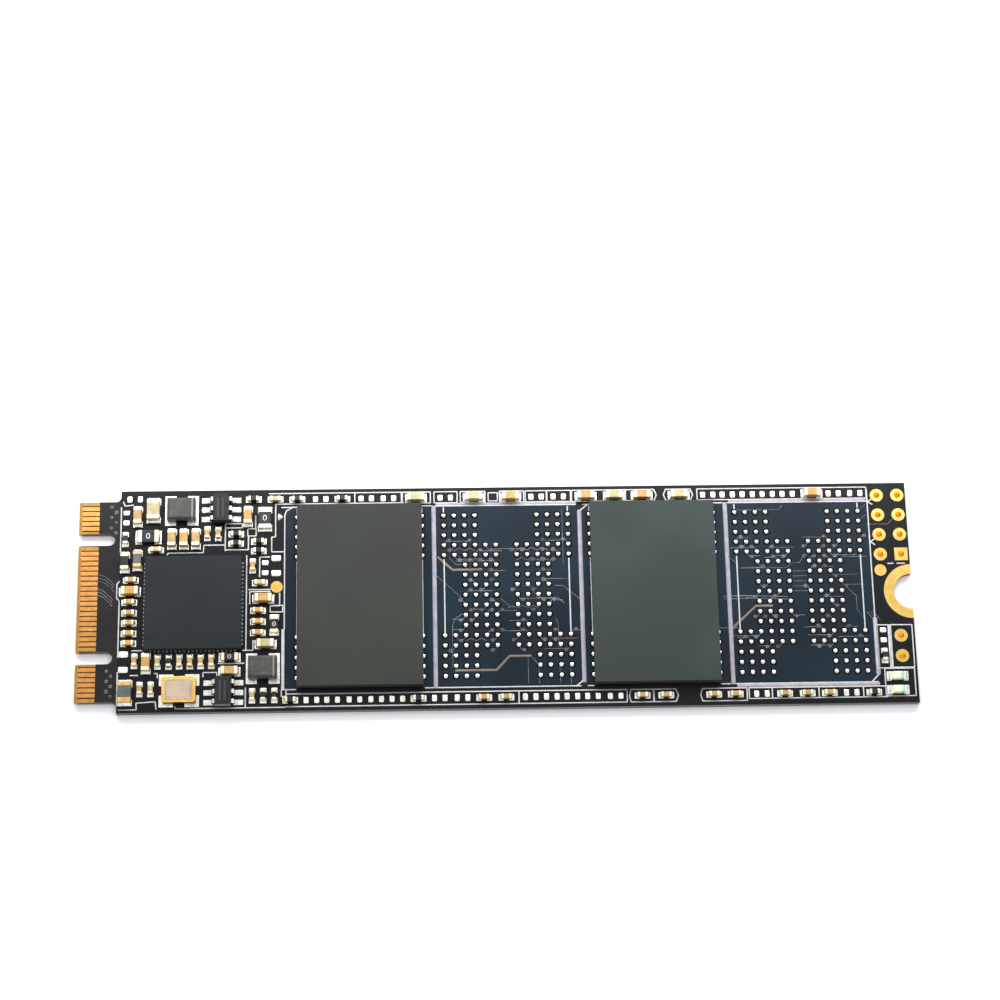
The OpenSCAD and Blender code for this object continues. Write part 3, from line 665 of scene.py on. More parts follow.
def lamp_lens():
    """Clear resin over a pale yellow chip, with a green mark at the end that the current enters.
    A faint emission in it is a painted glow.
    """
    made, g = blank("lamp_lens")
    u = g.math("DIVIDE", g.split(g.place())["X"], MM)
    low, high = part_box("led_lenses")
    mark = (low.x + 0.72 * (high.x - low.x)) / MM
    tint = blotched(g, (255, 252, 206), (248, 250, 222), 0.45)
    green = blotched(g, (140, 226, 176), (196, 240, 200), 0.3)
    noise = shared(g, GRAIN, size=0.1)
    tint = g.mix(g.step(u, mark - 0.1, mark + 0.1), tint, green)
    # Painted glow: a faint emission in the lens, though the lamp is not lit.
    close(g, tint, rough_by(g, noise, 0.18, 0.05), bumped(g, noise, 0.003), Coat_Weight=1.0,
          Specular_IOR_Level=0.8, Emission_Color=tint, Emission_Strength=0.34)
    return made


LAMP_LENS = lamp_lens()


def flash_mould(name, colour, second):
    """The resin of a memory package. A few pale specks of dust lie on it."""
    made, g = blank(name)
    tint = blotched(g, colour, second, 11.0)
    noise = shared(g, GRAIN, size=0.04)
    dust = shared(g, SPECKS, spacing=1.9, reach=0.024, share=0.16)
    tint = g.mix(g.math("MULTIPLY", dust, 0.5), tint, paint(200, 204, 190))
    close(g, tint, rough_by(g, noise, 0.52, 0.07), bumped(g, noise, 0.003), Specular_IOR_Level=0.18)
    return made


FLASH_INNER = flash_mould("flash_mould_inner", (66, 71, 66), (61, 64, 60))
FLASH_OUTER = flash_mould("flash_mould_outer", (70, 81, 79), (64, 73, 70))

# %% [markdown]
# ## Dressing the CAD parts
# The frame's meshes are right in shape, so they stay and only take a material. A machine-made
# edge is never razor sharp, though, and a rounded edge catches a fine line of light. Three
# modifiers give one without changing the mesh itself: Weld joins the loose triangles, Decimate
# merges those that lie in one plane, and Bevel rounds what is left.

# %% Materials and soft edges of the CAD nodes
FINISHES = {
    "circuit_board": (MASK, 0), "edge_contacts_top": (CONTACT_GOLD, 0),
    "edge_contacts_bottom": (CONTACT_GOLD, 0), "screw_notch_ring": (PAD_GOLD, 0),
    "header_plated_holes": (PAD_GOLD, 0), "jumper_plated_holes": (PAD_GOLD, 0),
    "gold_dots": (PAD_GOLD, 0), "bare_pads": (TINNED_PAD, 0), "solder_joints": (SOLDER, 0.03),
    "controller_body": (CONTROLLER_MOULD, 0.03), "controller_leads": (CONTROLLER_LEAD, 0),
    "flash_chip_inner": (FLASH_INNER, 0.03), "flash_chip_outer": (FLASH_OUTER, 0.03),
    "flash_balls_inner": (BUMP_SOLDER, 0), "flash_balls_outer": (BUMP_SOLDER, 0),
    "spare_bumps": (BUMP_SOLDER, 0),
    "bare_site_bumps_inner": (BUMP_SOLDER, 0), "bare_site_bumps_outer": (BUMP_SOLDER, 0),
    "crystal_base": (CRYSTAL_CERAMIC, 0.02), "crystal_rim": (CRYSTAL_GOLD, 0.03),
    "crystal_lid": (CRYSTAL_LID, 0.03), "coil_bodies": (COIL_MOULD, 0.04),
    "coil_terminals": (TINNED_LEAD, 0.02), "regulator_bodies": (REGULATOR_MOULD, 0.02),
    "regulator_leads": (TINNED_LEAD, 0), "bead_bodies": (BEAD_CERAMIC, 0.02),
    "bead_ends": (GILT_END, 0.03), "led_bases": (LAMP_BASE, 0.02), "led_lenses": (LAMP_LENS, 0.04),
    "led_ends": (LAMP_END, 0.02), "capacitor_bodies_tan": (CERAMIC_TAN, 0.02),
    "capacitor_bodies_orange": (CERAMIC_ORANGE, 0.02),
    "capacitor_bodies_pale": (CERAMIC_PALE, 0.02), "capacitor_ends": (TINNED_END, 0.035),
    "resistor_bodies": (RESISTOR_COAT, 0.02), "resistor_ends": (TINNED_END, 0.035),
    "link_bodies": (RESISTOR_COAT, 0.02), "link_ends": (TINNED_END, 0.03),
}
WELD_WITHIN = 0.0005 * MM
FLAT_WITHIN = math.radians(1)
ROUND_OVER = math.radians(25)


def soften(thing, width):
    weld = thing.modifiers.new("join_triangles", "WELD")
    weld.merge_threshold = WELD_WITHIN
    flat = thing.modifiers.new("merge_flats", "DECIMATE")
    flat.decimate_type = "DISSOLVE"
    flat.angle_limit = FLAT_WITHIN
    bevel = thing.modifiers.new("round_edges", "BEVEL")
    bevel.width = width * MM
    bevel.segments = 2
    bevel.limit_method = "ANGLE"
    bevel.angle_limit = ROUND_OVER
    bevel.use_clamp_overlap = True


def dress(name, material, edge):
    thing = NODES[name]
    for slot in thing.material_slots:
        slot.material = material
    if edge:
        soften(thing, edge)


for node_name, (node_finish, edge_width) in FINISHES.items():
    dress(node_name, node_finish, edge_width)
print("dressed", len(FINISHES), "of", len(NODES), "nodes")


# %% [markdown]
# ## Lines with a body
# White print and copper tracks are both lines of one width and thickness along a route. A curve
# holds the route, and Geometry Nodes sweeps a flat profile along it. The profile has four corners
# with its lower side on the board, wider below than above. Curve to Mesh does the sweep, with the
# curve's normal kept level, so that the profile never rolls. Faces that lie in one plane shade
# each other and turn dark, so on the parts side routes that touch get slightly different heights,
# and each starts a little below the board's face, so that a raised one leaves no gap under it.

# %% Geometry Nodes: a flat line along a route
def geometry_tree(name, takes):
    tree = bpy.data.node_groups.new(name, "GeometryNodeTree")
    tree.interface.new_socket("Geometry", in_out="INPUT", socket_type="NodeSocketGeometry")
    for label, kind, value in takes:
        socket = tree.interface.new_socket(label, in_out="INPUT", socket_type=kind)
        if value is not None:
            socket.default_value = value
    tree.interface.new_socket("Geometry", in_out="OUTPUT", socket_type="NodeSocketGeometry")
    g = Graph(tree)
    return g, g.node("NodeGroupInput").outputs, g.node("NodeGroupOutput").inputs


def real_in_material(g, takes, gives, geometry):
    """The end of every tree: turned if it has a Turn, made real and given its material."""
    if takes.get("Turn"):
        feeds = {"Geometry": geometry, "Rotation": takes["Turn"]}
        geometry = g.node("GeometryNodeTransform", feeds).outputs[0]
    real = g.node("GeometryNodeRealizeInstances", {"Geometry": geometry}).outputs[0]
    done = g.node("GeometryNodeSetMaterial", {"Geometry": real, "Material": takes["Material"]})
    g.feed(gives["Geometry"], done.outputs[0])
    return g.tree


def copies(g, takes, shape, largest):
    """The shape on every point, each copy at its own random size up to largest."""
    spread = g.node("FunctionNodeRandomValue", data_type="FLOAT")
    low, high, seed = [s for s in spread.inputs if s.enabled and s.name in ("Min", "Max", "Seed")]
    g.feed(low, g.math("SUBTRACT", 1.0, takes["Size spread"]))
    g.feed(high, largest)
    g.feed(seed, takes["Seed"])
    size = [s for s in spread.outputs if s.enabled][0]
    feeds = {"Points": takes["Geometry"], "Instance": shape, "Scale": size}
    return g.node("GeometryNodeInstanceOnPoints", feeds).outputs[0]


def profile_nodes(g, foot, crown, height):
    """Four corners of a low profile: foot wide below, crown wide above.

    With a level normal, the profile's own -Y ends up pointing away from the board.
    """
    made = g.node("GeometryNodeCurvePrimitiveQuadrilateral", mode="POINTS")
    above = g.math("MULTIPLY", height, -1.0)
    for corner, (width, side, level) in enumerate(
        ((foot, 0.5, 0.0), (foot, -0.5, 0.0), (crown, -0.5, above), (crown, 0.5, above)), 1
    ):
        x = g.math("MULTIPLY", width, side)
        point = g.node("ShaderNodeCombineXYZ", {"X": x, "Y": level})
        g.feed(made.inputs[f"Point {corner}"], point.outputs[0])
    return made.outputs[0]


def line_tree():
    g, takes, gives = geometry_tree("flat_line", [
        ("Foot width", "NodeSocketFloat", 0.12 * MM), ("Crown width", "NodeSocketFloat", 0.1 * MM),
        ("Height", "NodeSocketFloat", 0.01 * MM), ("Corner radius", "NodeSocketFloat", 0.0),
        ("Turn", "NodeSocketRotation", (0, 0, 0)), ("Material", "NodeSocketMaterial", None),
    ])
    feeds = {"Curve": takes["Geometry"], "Radius": takes["Corner radius"]}
    soft = g.node("GeometryNodeFilletCurve", feeds)
    level = g.node("GeometryNodeSetCurveNormal", {"Curve": soft.outputs[0]})
    level.mode = "Z_UP"
    profile = profile_nodes(g, takes["Foot width"], takes["Crown width"], takes["Height"])
    swept = g.node("GeometryNodeCurveToMesh", {
        "Curve": level.outputs[0], "Profile Curve": profile, "Fill Caps": True,
    })
    return real_in_material(g, takes, gives, swept.outputs[0])


LINE_TREE = line_tree()


# %% From a route to a finished mesh
LEVEL_STEP = 0.0006


def leg_boxes(route):
    return [(min(u0, u1), max(u0, u1), min(v0, v1), max(v0, v1))
            for (u0, v0), (u1, v1) in zip(route, route[1:])]


def touch(one, other, gap):
    """Whether any two legs of two routes come within gap of each other."""
    return any(a[0] < b[1] + gap and b[0] < a[1] + gap and a[2] < b[3] + gap and b[2] < a[3] + gap
               for a in one for b in other)


def levels(routes, width):
    """A level for each route, so that the tops of two that touch never lie in one plane."""
    chosen, legs = [], [leg_boxes(route) for route in routes]
    for number, these in enumerate(legs):
        taken = {chosen[other] for other in range(number) if touch(these, legs[other], width)}
        chosen.append(min(set(range(len(taken) + 1)) - taken))
    return chosen


def route_curve(name, routes, rise=0.0, width=None):
    """A curve object with one straight-segment spline for each route of board places."""
    data = bpy.data.curves.new(name, "CURVE")
    data.dimensions = "3D"
    steps = levels(routes, width) if width else [0] * len(routes)
    for route, step in zip(routes, steps):
        closed = len(route) > 2 and route[0] == route[-1]
        places = route[:-1] if closed else route
        spline = data.splines.new("POLY")
        spline.points.add(len(places) - 1)
        for point, place in zip(spline.points, places):
            point.co = (*spot(*place, rise + step * LEVEL_STEP), 1.0)
        spline.use_cyclic_u = closed
    thing = bpy.data.objects.new(name, data)
    bpy.context.scene.collection.objects.link(thing)
    return thing


def grown(source, tree, name, values):
    """Runs a Geometry Nodes tree on source, and returns the result as a plain mesh object."""
    modifier = source.modifiers.new(tree.name, "NODES")
    modifier.node_group = tree
    sockets = {s.name: s.identifier for s in tree.interface.items_tree if s.in_out == "INPUT"}
    for label, value in values.items():
        modifier[sockets[label]] = value
    bpy.context.view_layer.update()
    seen_now = source.evaluated_get(bpy.context.evaluated_depsgraph_get())
    mesh = bpy.data.meshes.new_from_object(seen_now)
    source.modifiers.remove(modifier)
    bpy.data.objects.remove(source)
    made = bpy.data.objects.new(name, mesh)
    bpy.context.scene.collection.objects.link(made)
    shape = bmesh.new()
    shape.from_mesh(mesh)
    print(f"{name}: {len(mesh.polygons)} faces, {shape.calc_volume(signed=True) / MM ** 3:.4f} mm3")
    shape.free()
    return made


def keep(piece):
    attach(piece, "root")
    return piece


# %% [markdown]
# ## The white print
# The print outlines the sites and the rows of parts. It is about two hundredths of a millimetre
# of white ink, so it gets real thickness and slightly soft corners. The four links each carry a
# plain ring as their zero.

# %% Print routes at the left of the board
def box_route(u0, v0, u1, v1):
    return [(u0, v0), (u1, v0), (u1, v1), (u0, v1), (u0, v0)]


LEFT_PRINT = [
    [(4.03, 9.4), (4.03, 4.85)],
    [(4.03, 1.95), (3.78, 1.67), (3.78, 0.25), (4.03, 0.0), (4.03, -5.6)],
    [(4.03, -7.0), (4.03, -10.3)],
    [(4.2, 9.95), (4.35, 9.5), (5.2, 9.6)],
    [(8.5, 4.5), (8.6, 4.7), (11.95, 4.7), (12.0, 5.45), (14.05, 5.45)],
    [(14.05, 4.85), (14.05, 7.6), (15.67, 7.6), (15.67, 7.17), (14.1, 7.17)],
    [(14.05, 4.95), (16.3, 4.95)],
    [(16.27, 6.33), (16.27, 4.9)],
    box_route(16.2, 6.33, 17.0, 7.06),
    [(16.95, 8.4), (16.95, 7.06)],
    [(16.12, 4.4), (16.12, -5.05)],
    [(15.8, -5.05), (16.8, -5.05), (16.8, -4.05)],
    [(17.37, 2.2), (17.37, 4.2), (18.35, 4.2)],
    [(19.8, 4.7), (18.5, 4.7), (18.5, 6.2), (18.87, 6.2), (18.87, 9.55)],
    [(20.65, 9.25), (19.9, 8.83), (19.75, 8.4), (19.75, -3.0)],
    box_route(19.5, -8.95, 19.95, -9.6),
    [(16.3, 0.95), (18.4, 0.95)],
    [(16.45, -0.5), (16.45, 0.75), (18.4, 0.75)],
    [(19.3, 0.6), (19.3, -0.7), (18.4, -0.7)],
    box_route(18.4, -0.65, 19.6, -1.3),
    [(13.5, -6.3), (16.0, -6.3)],
    [(12.1, -7.6), (12.1, -7.17), (13.4, -7.17), (13.4, -7.6)],
    [(5.2, -7.37), (6.0, -7.37)],
    [(7.5, -7.2), (7.8, -7.2), (7.8, -7.65)],
    [(5.3, -4.95), (6.3, -4.95)],
    [(4.2, -10.7), (5.9, -10.7), (5.85, -10.05), (7.65, -9.95), (7.75, -10.7)],
    [(9.5, -10.4), (9.55, -10.65), (19.9, -10.65)],
    [(16.12, -8.67), (16.12, -10.65)],
]

# %% Print routes round the memory sites
SITE_MIDDLES = [26.95, 41.05, 55.15, 69.25]
SITE_V = 0.15
OUTER_COLUMN = 6.0
ROW_FAR_V = 10.6
TOP_ROW_V = 9.47
LOW_ROW_V = -9.37

FAR_SPANS = [(34.3, 47.9), (48.5, 62.1), (62.6, 76.2)]
NEAR_SPANS = [(19.7, 20.9), (33.05, 33.9), (34.3, 47.9), (48.5, 49.1), (61.2, 62.1), (62.6, 76.2)]
SITE_PRINT = [[(18.8, 9.52), (31.0, 9.52)], [(19.4, 9.18), (33.9, 9.18)]]
SITE_PRINT += [[(start, 9.15), (end, 9.15)] for start, end in FAR_SPANS]
SITE_PRINT += [[(start, -8.95), (end, -8.95)] for start, end in NEAR_SPANS]
for middle in SITE_MIDDLES:
    for column in (middle - OUTER_COLUMN, middle + OUTER_COLUMN):
        SITE_PRINT.append([(column, SITE_V + 3.6), (column, SITE_V - 3.85)])
        SITE_PRINT.append([(column, 9.0), (column, 8.5)])
SITE_PRINT += [[(48.2, 8.5), (49.0, 9.1)], [(47.4, -9.0), (48.1, -8.4)]]
SITE_PRINT += [[(75.6, -8.9), (76.3, -8.2)]]

# %% Print routes of the two long rows
def bulged_route(u0, v0, u1, v1, left, right):
    """A box whose left or right end bulges outward."""
    middle = (v0 + v1) / 2
    far_end = [(u1 + right, middle)] if right else []
    near_end = [(u0 - left, middle)] if left else []
    return [(u0, v0), (u1, v0), *far_end, (u1, v1), (u0, v1), *near_end, (u0, v0)]


LAST_LOW_V = -10.42
ROW_PRINT = [[(18.2, ROW_FAR_V), (31.0, ROW_FAR_V)]]
ROW_PRINT += [[(u, ROW_FAR_V), (u, TOP_ROW_V)] for u in (26.5, 31.0)]
BOX_SPANS = [(31.1, 33.8), (34.15, 36.4), (36.7, 39.1), (40.5, 42.85), (43.0, 45.05),
             (45.1, 47.4), (47.5, 52.7), (59.7, 76.2)]
ROW_PRINT += [box_route(start, TOP_ROW_V, end, ROW_FAR_V) for start, end in BOX_SPANS]
ROW_PRINT.append(box_route(39.4, 9.6, 40.3, 10.45))
ROW_PRINT.append(bulged_route(52.75, TOP_ROW_V, 55.5, ROW_FAR_V, 0, 0.24))
ROW_PRINT.append(bulged_route(56.65, TOP_ROW_V, 59.05, ROW_FAR_V, 0.22, 0.22))
ROW_PRINT += [[(20.0, LOW_ROW_V), (52.2, LOW_ROW_V), (52.2, -ROW_FAR_V), (19.9, -ROW_FAR_V)]]
ROW_PRINT.append([(41.95, -ROW_FAR_V), (41.95, LOW_ROW_V)])
ROW_PRINT.append(bulged_route(52.55, LOW_ROW_V, 54.7, -ROW_FAR_V, 0.14, 0))
ROW_PRINT.append(bulged_route(54.75, LOW_ROW_V, 56.85, -ROW_FAR_V, 0, 0.2))
ROW_PRINT.append(bulged_route(59.35, LOW_ROW_V, 63.6, -ROW_FAR_V, 0.16, 0))
ROW_PRINT.append(box_route(63.8, LOW_ROW_V, 77.0, LAST_LOW_V))
ROW_PRINT += [[(u, LOW_ROW_V), (u, LAST_LOW_V)] for u in (66.0, 70.45, 74.7)]

# %% Print routes of the screw end
TAIL_PRINT = [
    [(76.3, 9.1), (76.75, 9.4)], [(76.3, 9.1), (76.75, 8.8)],
    [(76.3, 5.0), (76.75, 5.3)], [(76.3, 5.0), (76.75, 4.7)],
    [(77.8, 2.8), (78.4, 2.8)], [(78.7, 2.8), (79.5, 2.8)],
    box_route(76.2, -3.35, 77.45, -7.6),
    box_route(77.55, -3.35, 79.75, -7.55),
    box_route(76.85, -7.65, 79.7, -10.35),
    [(76.25, 10.4), (76.25, -3.3)],
]

# %% Thick bars and bands round the sites, and the marks of the first pin
BAR_W = 0.42
THICK_BARS = [(34.1, 9.2, -9.0), (48.2, 8.6, -8.6), (62.35, 9.2, -9.0), (76.25, -2.6, -8.2)]
BANDS = [(34.3, 47.9, 9.31, 0.3), (62.7, 76.1, 9.31, 0.3), (62.7, 76.3, -9.16, 0.36)]
HEAVY_LINE = [[(19.63, -3.0), (19.63, -8.9)], [(77.6, -3.35), (77.6, -7.55)]]
PIN_ONE = [(19.1, 19.3, 0.64), (19.28, 19.44, 0.44), (19.42, 19.54, 0.2)]
PIN_ONE_V = 8.22


def ring_route(u, v, half_l, half_w, count=14):
    turns = [2 * math.pi * i / count for i in range(count)]
    places = [(u + half_l * math.cos(a), v + half_w * math.sin(a)) for a in turns]
    return places + places[:1]


# %% Ink materials
def ink(name, colour, second, thin):
    """Printed ink. Where it is thin, dark pinholes of the board show through."""
    made, g = blank(name)
    tint = blotched(g, colour, second, 0.8)
    holes = shared(g, SPECKS, spacing=0.5, reach=0.16, share=thin)
    tint = g.mix(g.math("MULTIPLY", holes, 0.7), tint, paint(70, 70, 80))
    noise = shared(g, GRAIN, size=0.09)
    close(g, tint, rough_by(g, noise, 0.55, 0.08), bumped(g, noise, 0.004), Specular_IOR_Level=0.4)
    return made


INK = ink("white_ink", (252, 252, 252), (240, 239, 244), 0.04)
THIN_INK = ink("thin_ink", (204, 200, 214), (188, 184, 200), 0.12)

# %% Build the print
LINE_W = 0.13
INK_H = 0.022
INK_SINK = 0.004


def ink_line(name, routes, width, material, rise=0.0):
    curve = route_curve(name + "_route", routes, rise - INK_SINK, width)
    made = grown(curve, LINE_TREE, name, {
        "Foot width": width * MM, "Crown width": (width - 0.02) * MM,
        "Height": (INK_H + INK_SINK) * MM, "Corner radius": 0.04 * MM, "Material": material,
    })
    return keep(made)


ink_line("print_lines", LEFT_PRINT + SITE_PRINT + ROW_PRINT + TAIL_PRINT, LINE_W, INK)
ink_line("print_heavy_line", HEAVY_LINE, 0.3, INK, -0.001)
for number, (mark_from, mark_to, mark_w) in enumerate(PIN_ONE, 1):
    mark = [(mark_from, PIN_ONE_V), (mark_to, PIN_ONE_V)]
    ink_line(f"print_pin_one_{number}", [mark], mark_w, INK)
for number, (bar_u, bar_from, bar_to) in enumerate(THICK_BARS, 1):
    ink_line(f"print_bar_{number}", [[(bar_u, bar_from), (bar_u, bar_to)]], BAR_W, THIN_INK, -0.002)
for number, (band_from, band_to, band_v, band_w) in enumerate(BANDS, 1):
    ink_line(f"print_band_{number}", [[(band_from, band_v), (band_to, band_v)]], band_w,
             THIN_INK, -0.0035)

# %% Zeros on the four links
LARGE_LINK_MM2 = 1.1
LINKS = islands("link_bodies")
link_areas = [(high.x - low.x) * (high.y - low.y) / MM ** 2 for low, high in LINKS]
for number, ((low, high), area) in enumerate(zip(LINKS, link_areas), 1):
    middle_now = (low + high) / 2
    half_l, half_w, line_w = (0.16, 0.25, 0.1) if area > LARGE_LINK_MM2 else (0.14, 0.18, 0.08)
    zero = ring_route(to_u(middle_now.x), middle_now.y / MM, half_l, half_w)
    ink_line(f"print_zero_{number}", [zero], line_w, INK, (high.z - TOP) / MM)
print(len(LINKS), "zeros", [f"{area:.2f} mm2" for area in link_areas])

# %% [markdown]
# ## Copper tracks under the mask
# Copper is etched before the mask goes on, so each track shows as a low ridge with sloping
# shoulders. The routes near the card edge and through the two bare sites are listed one by one.
# Short necks join the solder lands to vias, so those come from a loop with a fixed seed.

# %% Track routes on the parts side
def comb(route, count, step_u, step_v):
    """Repeats a route side by side, as tracks in a bundle run."""
    return [[(u + i * step_u, v + i * step_v) for u, v in route] for i in range(count)]


TRACKS = []
TRACKS += comb([(2.0, 2.6), (2.6, 2.45), (3.2, 1.95), (3.5, 1.55)], 3, 0.0, -0.32)
TRACKS += comb([(2.0, 1.2), (2.5, 1.0), (3.1, 0.45), (3.4, 0.1)], 3, -0.03, -0.3)
TRACKS += [[(35.5, 4.0), (36.15, 3.2), (36.75, 3.2)], [(34.25, 2.17), (36.8, -0.25)]]
TRACKS += [[(45.6, 1.0), (46.4, 1.0), (47.1, 0.37), (48.3, -0.6)]]
TRACKS += [[(40.4, -0.2), (41.3, -1.1), (41.9, -1.1)]]
TRACKS += [[(42.6, 1.0), (43.35, 0.93), (43.95, -0.2), (45.9, -0.25), (46.5, -0.75)]]
TRACKS += [[(44.8, 1.7), (46.9, 1.7)]]
TRACKS += [[(42.9, -6.1), (42.9, -8.65)], [(43.2, -5.95), (43.9, -6.8), (43.95, -8.65)]]
TRACKS += [[(45.9, -6.9), (45.95, -8.7)], [(46.95, -6.9), (46.95, -8.7)]]
TRACKS += [[(35.75, -7.0), (35.75, -3.0), (36.0, -2.2), (36.75, -1.7)]]
TRACKS += [[(45.6, -2.2), (45.85, -2.75), (45.85, -5.1)], [(46.5, 8.8), (46.5, 3.2)]]
WAVES = [(4.7, 36, 38), (4.7, 42, 45), (3.7, 42, 45), (-1.1, 41, 44), (-4.3, 37, 39)]
for wave_v, wave_from, wave_to in WAVES:
    steps = range(2 * (wave_to - wave_from) + 1)
    TRACKS.append([(wave_from + 0.5 * i, wave_v + (0.16 if i % 2 else -0.12)) for i in steps])
TRACKS += [[(62.6, 3.6), (63.3, 2.9)]]
TRACKS += [[(63.6, 2.5), (68.0, 2.5), (68.6, 3.0), (69.3, 3.0), (69.9, 3.9)]]
TRACKS += comb([(61.8, -0.3), (65.0, -0.3), (68.0, -0.4)], 2, 0.0, -0.25)
TRACKS += [[(73.6, 0.6), (74.6, -0.4), (74.6, -1.8), (75.2, -2.6)]]
TRACKS += comb([(75.5, -2.0), (76.2, -2.9)], 3, 0.28, 0.05)
TRACKS += [[(63.0, 8.1), (63.4, 8.4), (67.6, 8.4), (67.9, 8.8)]]
TRACKS += [[(76.0, 6.8), (78.1, 6.8), (78.7, 7.4)]]
TRACKS += comb([(68.6, 2.15), (69.95, 2.15)], 5, 0.0, -0.5)
TRACKS += [[(75.5, 8.35), (76.0, 8.8)], [(75.5, 7.35), (76.0, 7.75)]]
WIDE_TRACKS = [
    [(62.5, -3.5), (64.9, -1.3), (66.5, -1.3)],
    [(34.4, 4.0), (35.85, 2.67), (38.7, 2.7)],
    [(35.95, -7.3), (39.9, -7.3), (41.15, -5.95), (43.2, -5.95)],
]

# %% Solder lands of a memory site
GRID_COLUMNS, GRID_ROWS, BALL_PITCH = 13, 17, 1.0


def has_land(column, row):
    c = min(column, GRID_COLUMNS - 1 - column)
    r = min(row, GRID_ROWS - 1 - row)
    if r < 3:
        return c < 4
    return c < 6 if r < 5 else 1 < c < 6


def lands(site_u):
    first_u = site_u - (GRID_COLUMNS - 1) / 2 * BALL_PITCH
    first_v = SITE_V - (GRID_ROWS - 1) / 2 * BALL_PITCH
    return [(first_u + column * BALL_PITCH, first_v + row * BALL_PITCH)
            for column in range(GRID_COLUMNS) for row in range(GRID_ROWS) if has_land(column, row)]


# %% Necks and vias between the lands
def necks_and_vias(site_u, seed):
    dice = random.Random(seed)
    necks, vias = [], []
    for u, v in lands(site_u):
        if abs(v - SITE_V) > 5.6 or dice.random() < 0.45:
            continue
        side, way = dice.choice((-1, 1)), dice.choice((-1, 1))
        end = (u + side * 0.5, v + way * 0.5)
        necks.append([(u + side * 0.12, v + way * 0.22), (u + side * 0.3, v + way * 0.5), end])
        vias.append(end)
        if dice.random() < 0.4:
            run = dice.choice((0.8, 1.4, 2.1))
            far_v = end[1] - way * 0.1
            necks.append([end, (end[0] + side * 0.3, far_v), (end[0] + side * run, far_v)])
    return necks, vias


NECKS, VIAS = [], []
for site_number in (1, 3):
    more_necks, more_vias = necks_and_vias(SITE_MIDDLES[site_number], 40 + site_number)
    NECKS += more_necks
    VIAS += more_vias
VIAS += [(3.1 + 0.45 * (i % 2), 9.4 - 0.52 * i) for i in range(6)]
VIAS += [(3.0 + 0.4 * (i % 2), -6.9 - 0.5 * i) for i in range(6)]
print(len(TRACKS), "tracks,", len(NECKS), "necks,", len(VIAS), "vias")

# %% [markdown]
# ## Vias
# A via is a tiny plated hole that the mask has closed: a low ring round a shallow dimple. There
# are hundreds, so Geometry Nodes sweeps the same low profile round one small circle and puts a
# copy on every point of a mesh that has nothing but points.

# %% Geometry Nodes: a ring on every point
def ring_tree():
    g, takes, gives = geometry_tree("via_rings", [
        ("Ring radius", "NodeSocketFloat", 0.15 * MM), ("Foot width", "NodeSocketFloat", 0.12 * MM),
        ("Crown width", "NodeSocketFloat", 0.05 * MM), ("Height", "NodeSocketFloat", 0.01 * MM),
        ("Size spread", "NodeSocketFloat", 0.15), ("Seed", "NodeSocketInt", 3),
        ("Turn", "NodeSocketRotation", (0, 0, 0)), ("Material", "NodeSocketMaterial", None),
    ])
    feeds = {"Resolution": 14, "Radius": takes["Ring radius"]}
    circle = g.node("GeometryNodeCurvePrimitiveCircle", feeds)
    level = g.node("GeometryNodeSetCurveNormal", {"Curve": circle.outputs[0]})
    level.mode = "Z_UP"
    profile = profile_nodes(g, takes["Foot width"], takes["Crown width"], takes["Height"])
    ring = g.node("GeometryNodeCurveToMesh", {"Curve": level.outputs[0], "Profile Curve": profile})
    largest = g.math("ADD", 1.0, takes["Size spread"])
    return real_in_material(g, takes, gives, copies(g, takes, ring.outputs[0], largest))


RING_TREE = ring_tree()


def point_cloud(name, places):
    mesh = bpy.data.meshes.new(name)
    mesh.from_pydata(places, [], [])
    thing = bpy.data.objects.new(name, mesh)
    bpy.context.scene.collection.objects.link(thing)
    return thing


# %% Track materials
def track_material(name, colour, second, roughness):
    """Mask over copper: the same black resin, lighter and glossier on the ridge. The lighter colour
    is partly the copper below and partly a painted highlight of the ridge.
    """
    made, g = blank(name)
    tint = blotched(g, colour, second, 1.1)
    noise = shared(g, GRAIN, size=0.12)
    close(g, tint, rough_by(g, noise, roughness, 0.05), bumped(g, noise, 0.003),
          Specular_IOR_Level=0.7)
    return made


# Painted highlight: these light colours stand partly for copper and partly for light on the ridges.
TRACK = track_material("masked_track", (150, 149, 152), (92, 93, 97), 0.3)
WIDE_TRACK = track_material("masked_copper", (158, 142, 122), (130, 112, 98), 0.34)

# %% Build the tracks and vias of the parts side
TRACK_W = 0.066
TRACK_H = 0.014
TRACK_SINK = 0.004
VIA_H = 0.019


def track_lines(name, routes, width, material, height, turn=(0, 0, 0), rise=0.0, crossing=None):
    curve = route_curve(name + "_route", routes, rise, crossing)
    made = grown(curve, LINE_TREE, name, {
        "Foot width": width * MM, "Crown width": width * 0.45 * MM, "Height": height * MM,
        "Corner radius": 0.1 * MM, "Turn": turn, "Material": material,
    })
    return keep(made)


track_lines("tracks_top", TRACKS + NECKS, TRACK_W, TRACK, TRACK_H + TRACK_SINK,
            rise=-TRACK_SINK, crossing=TRACK_W)
track_lines("tracks_top_wide", WIDE_TRACKS, 0.26, WIDE_TRACK, TRACK_H - 0.001)
via_points = point_cloud("via_points", [spot(u, v) for u, v in VIAS])
keep(grown(via_points, RING_TREE, "vias_top", {
    "Ring radius": 0.12 * MM, "Foot width": 0.11 * MM, "Crown width": 0.04 * MM,
    "Height": VIA_H * MM, "Seed": 5, "Material": TRACK,
}))

# %% [markdown]
# ## The underside
# The underside carries no parts, only tracks. Bundles run from the contacts to the middle and on
# round the screw notch to the header. The far half is calm, with a few broad shapes and scattered
# vias. Routes are drawn as they look from below, then the whole mesh is turned half round the long
# axis. A bundle is one route repeated beside itself with its corners kept sharp.

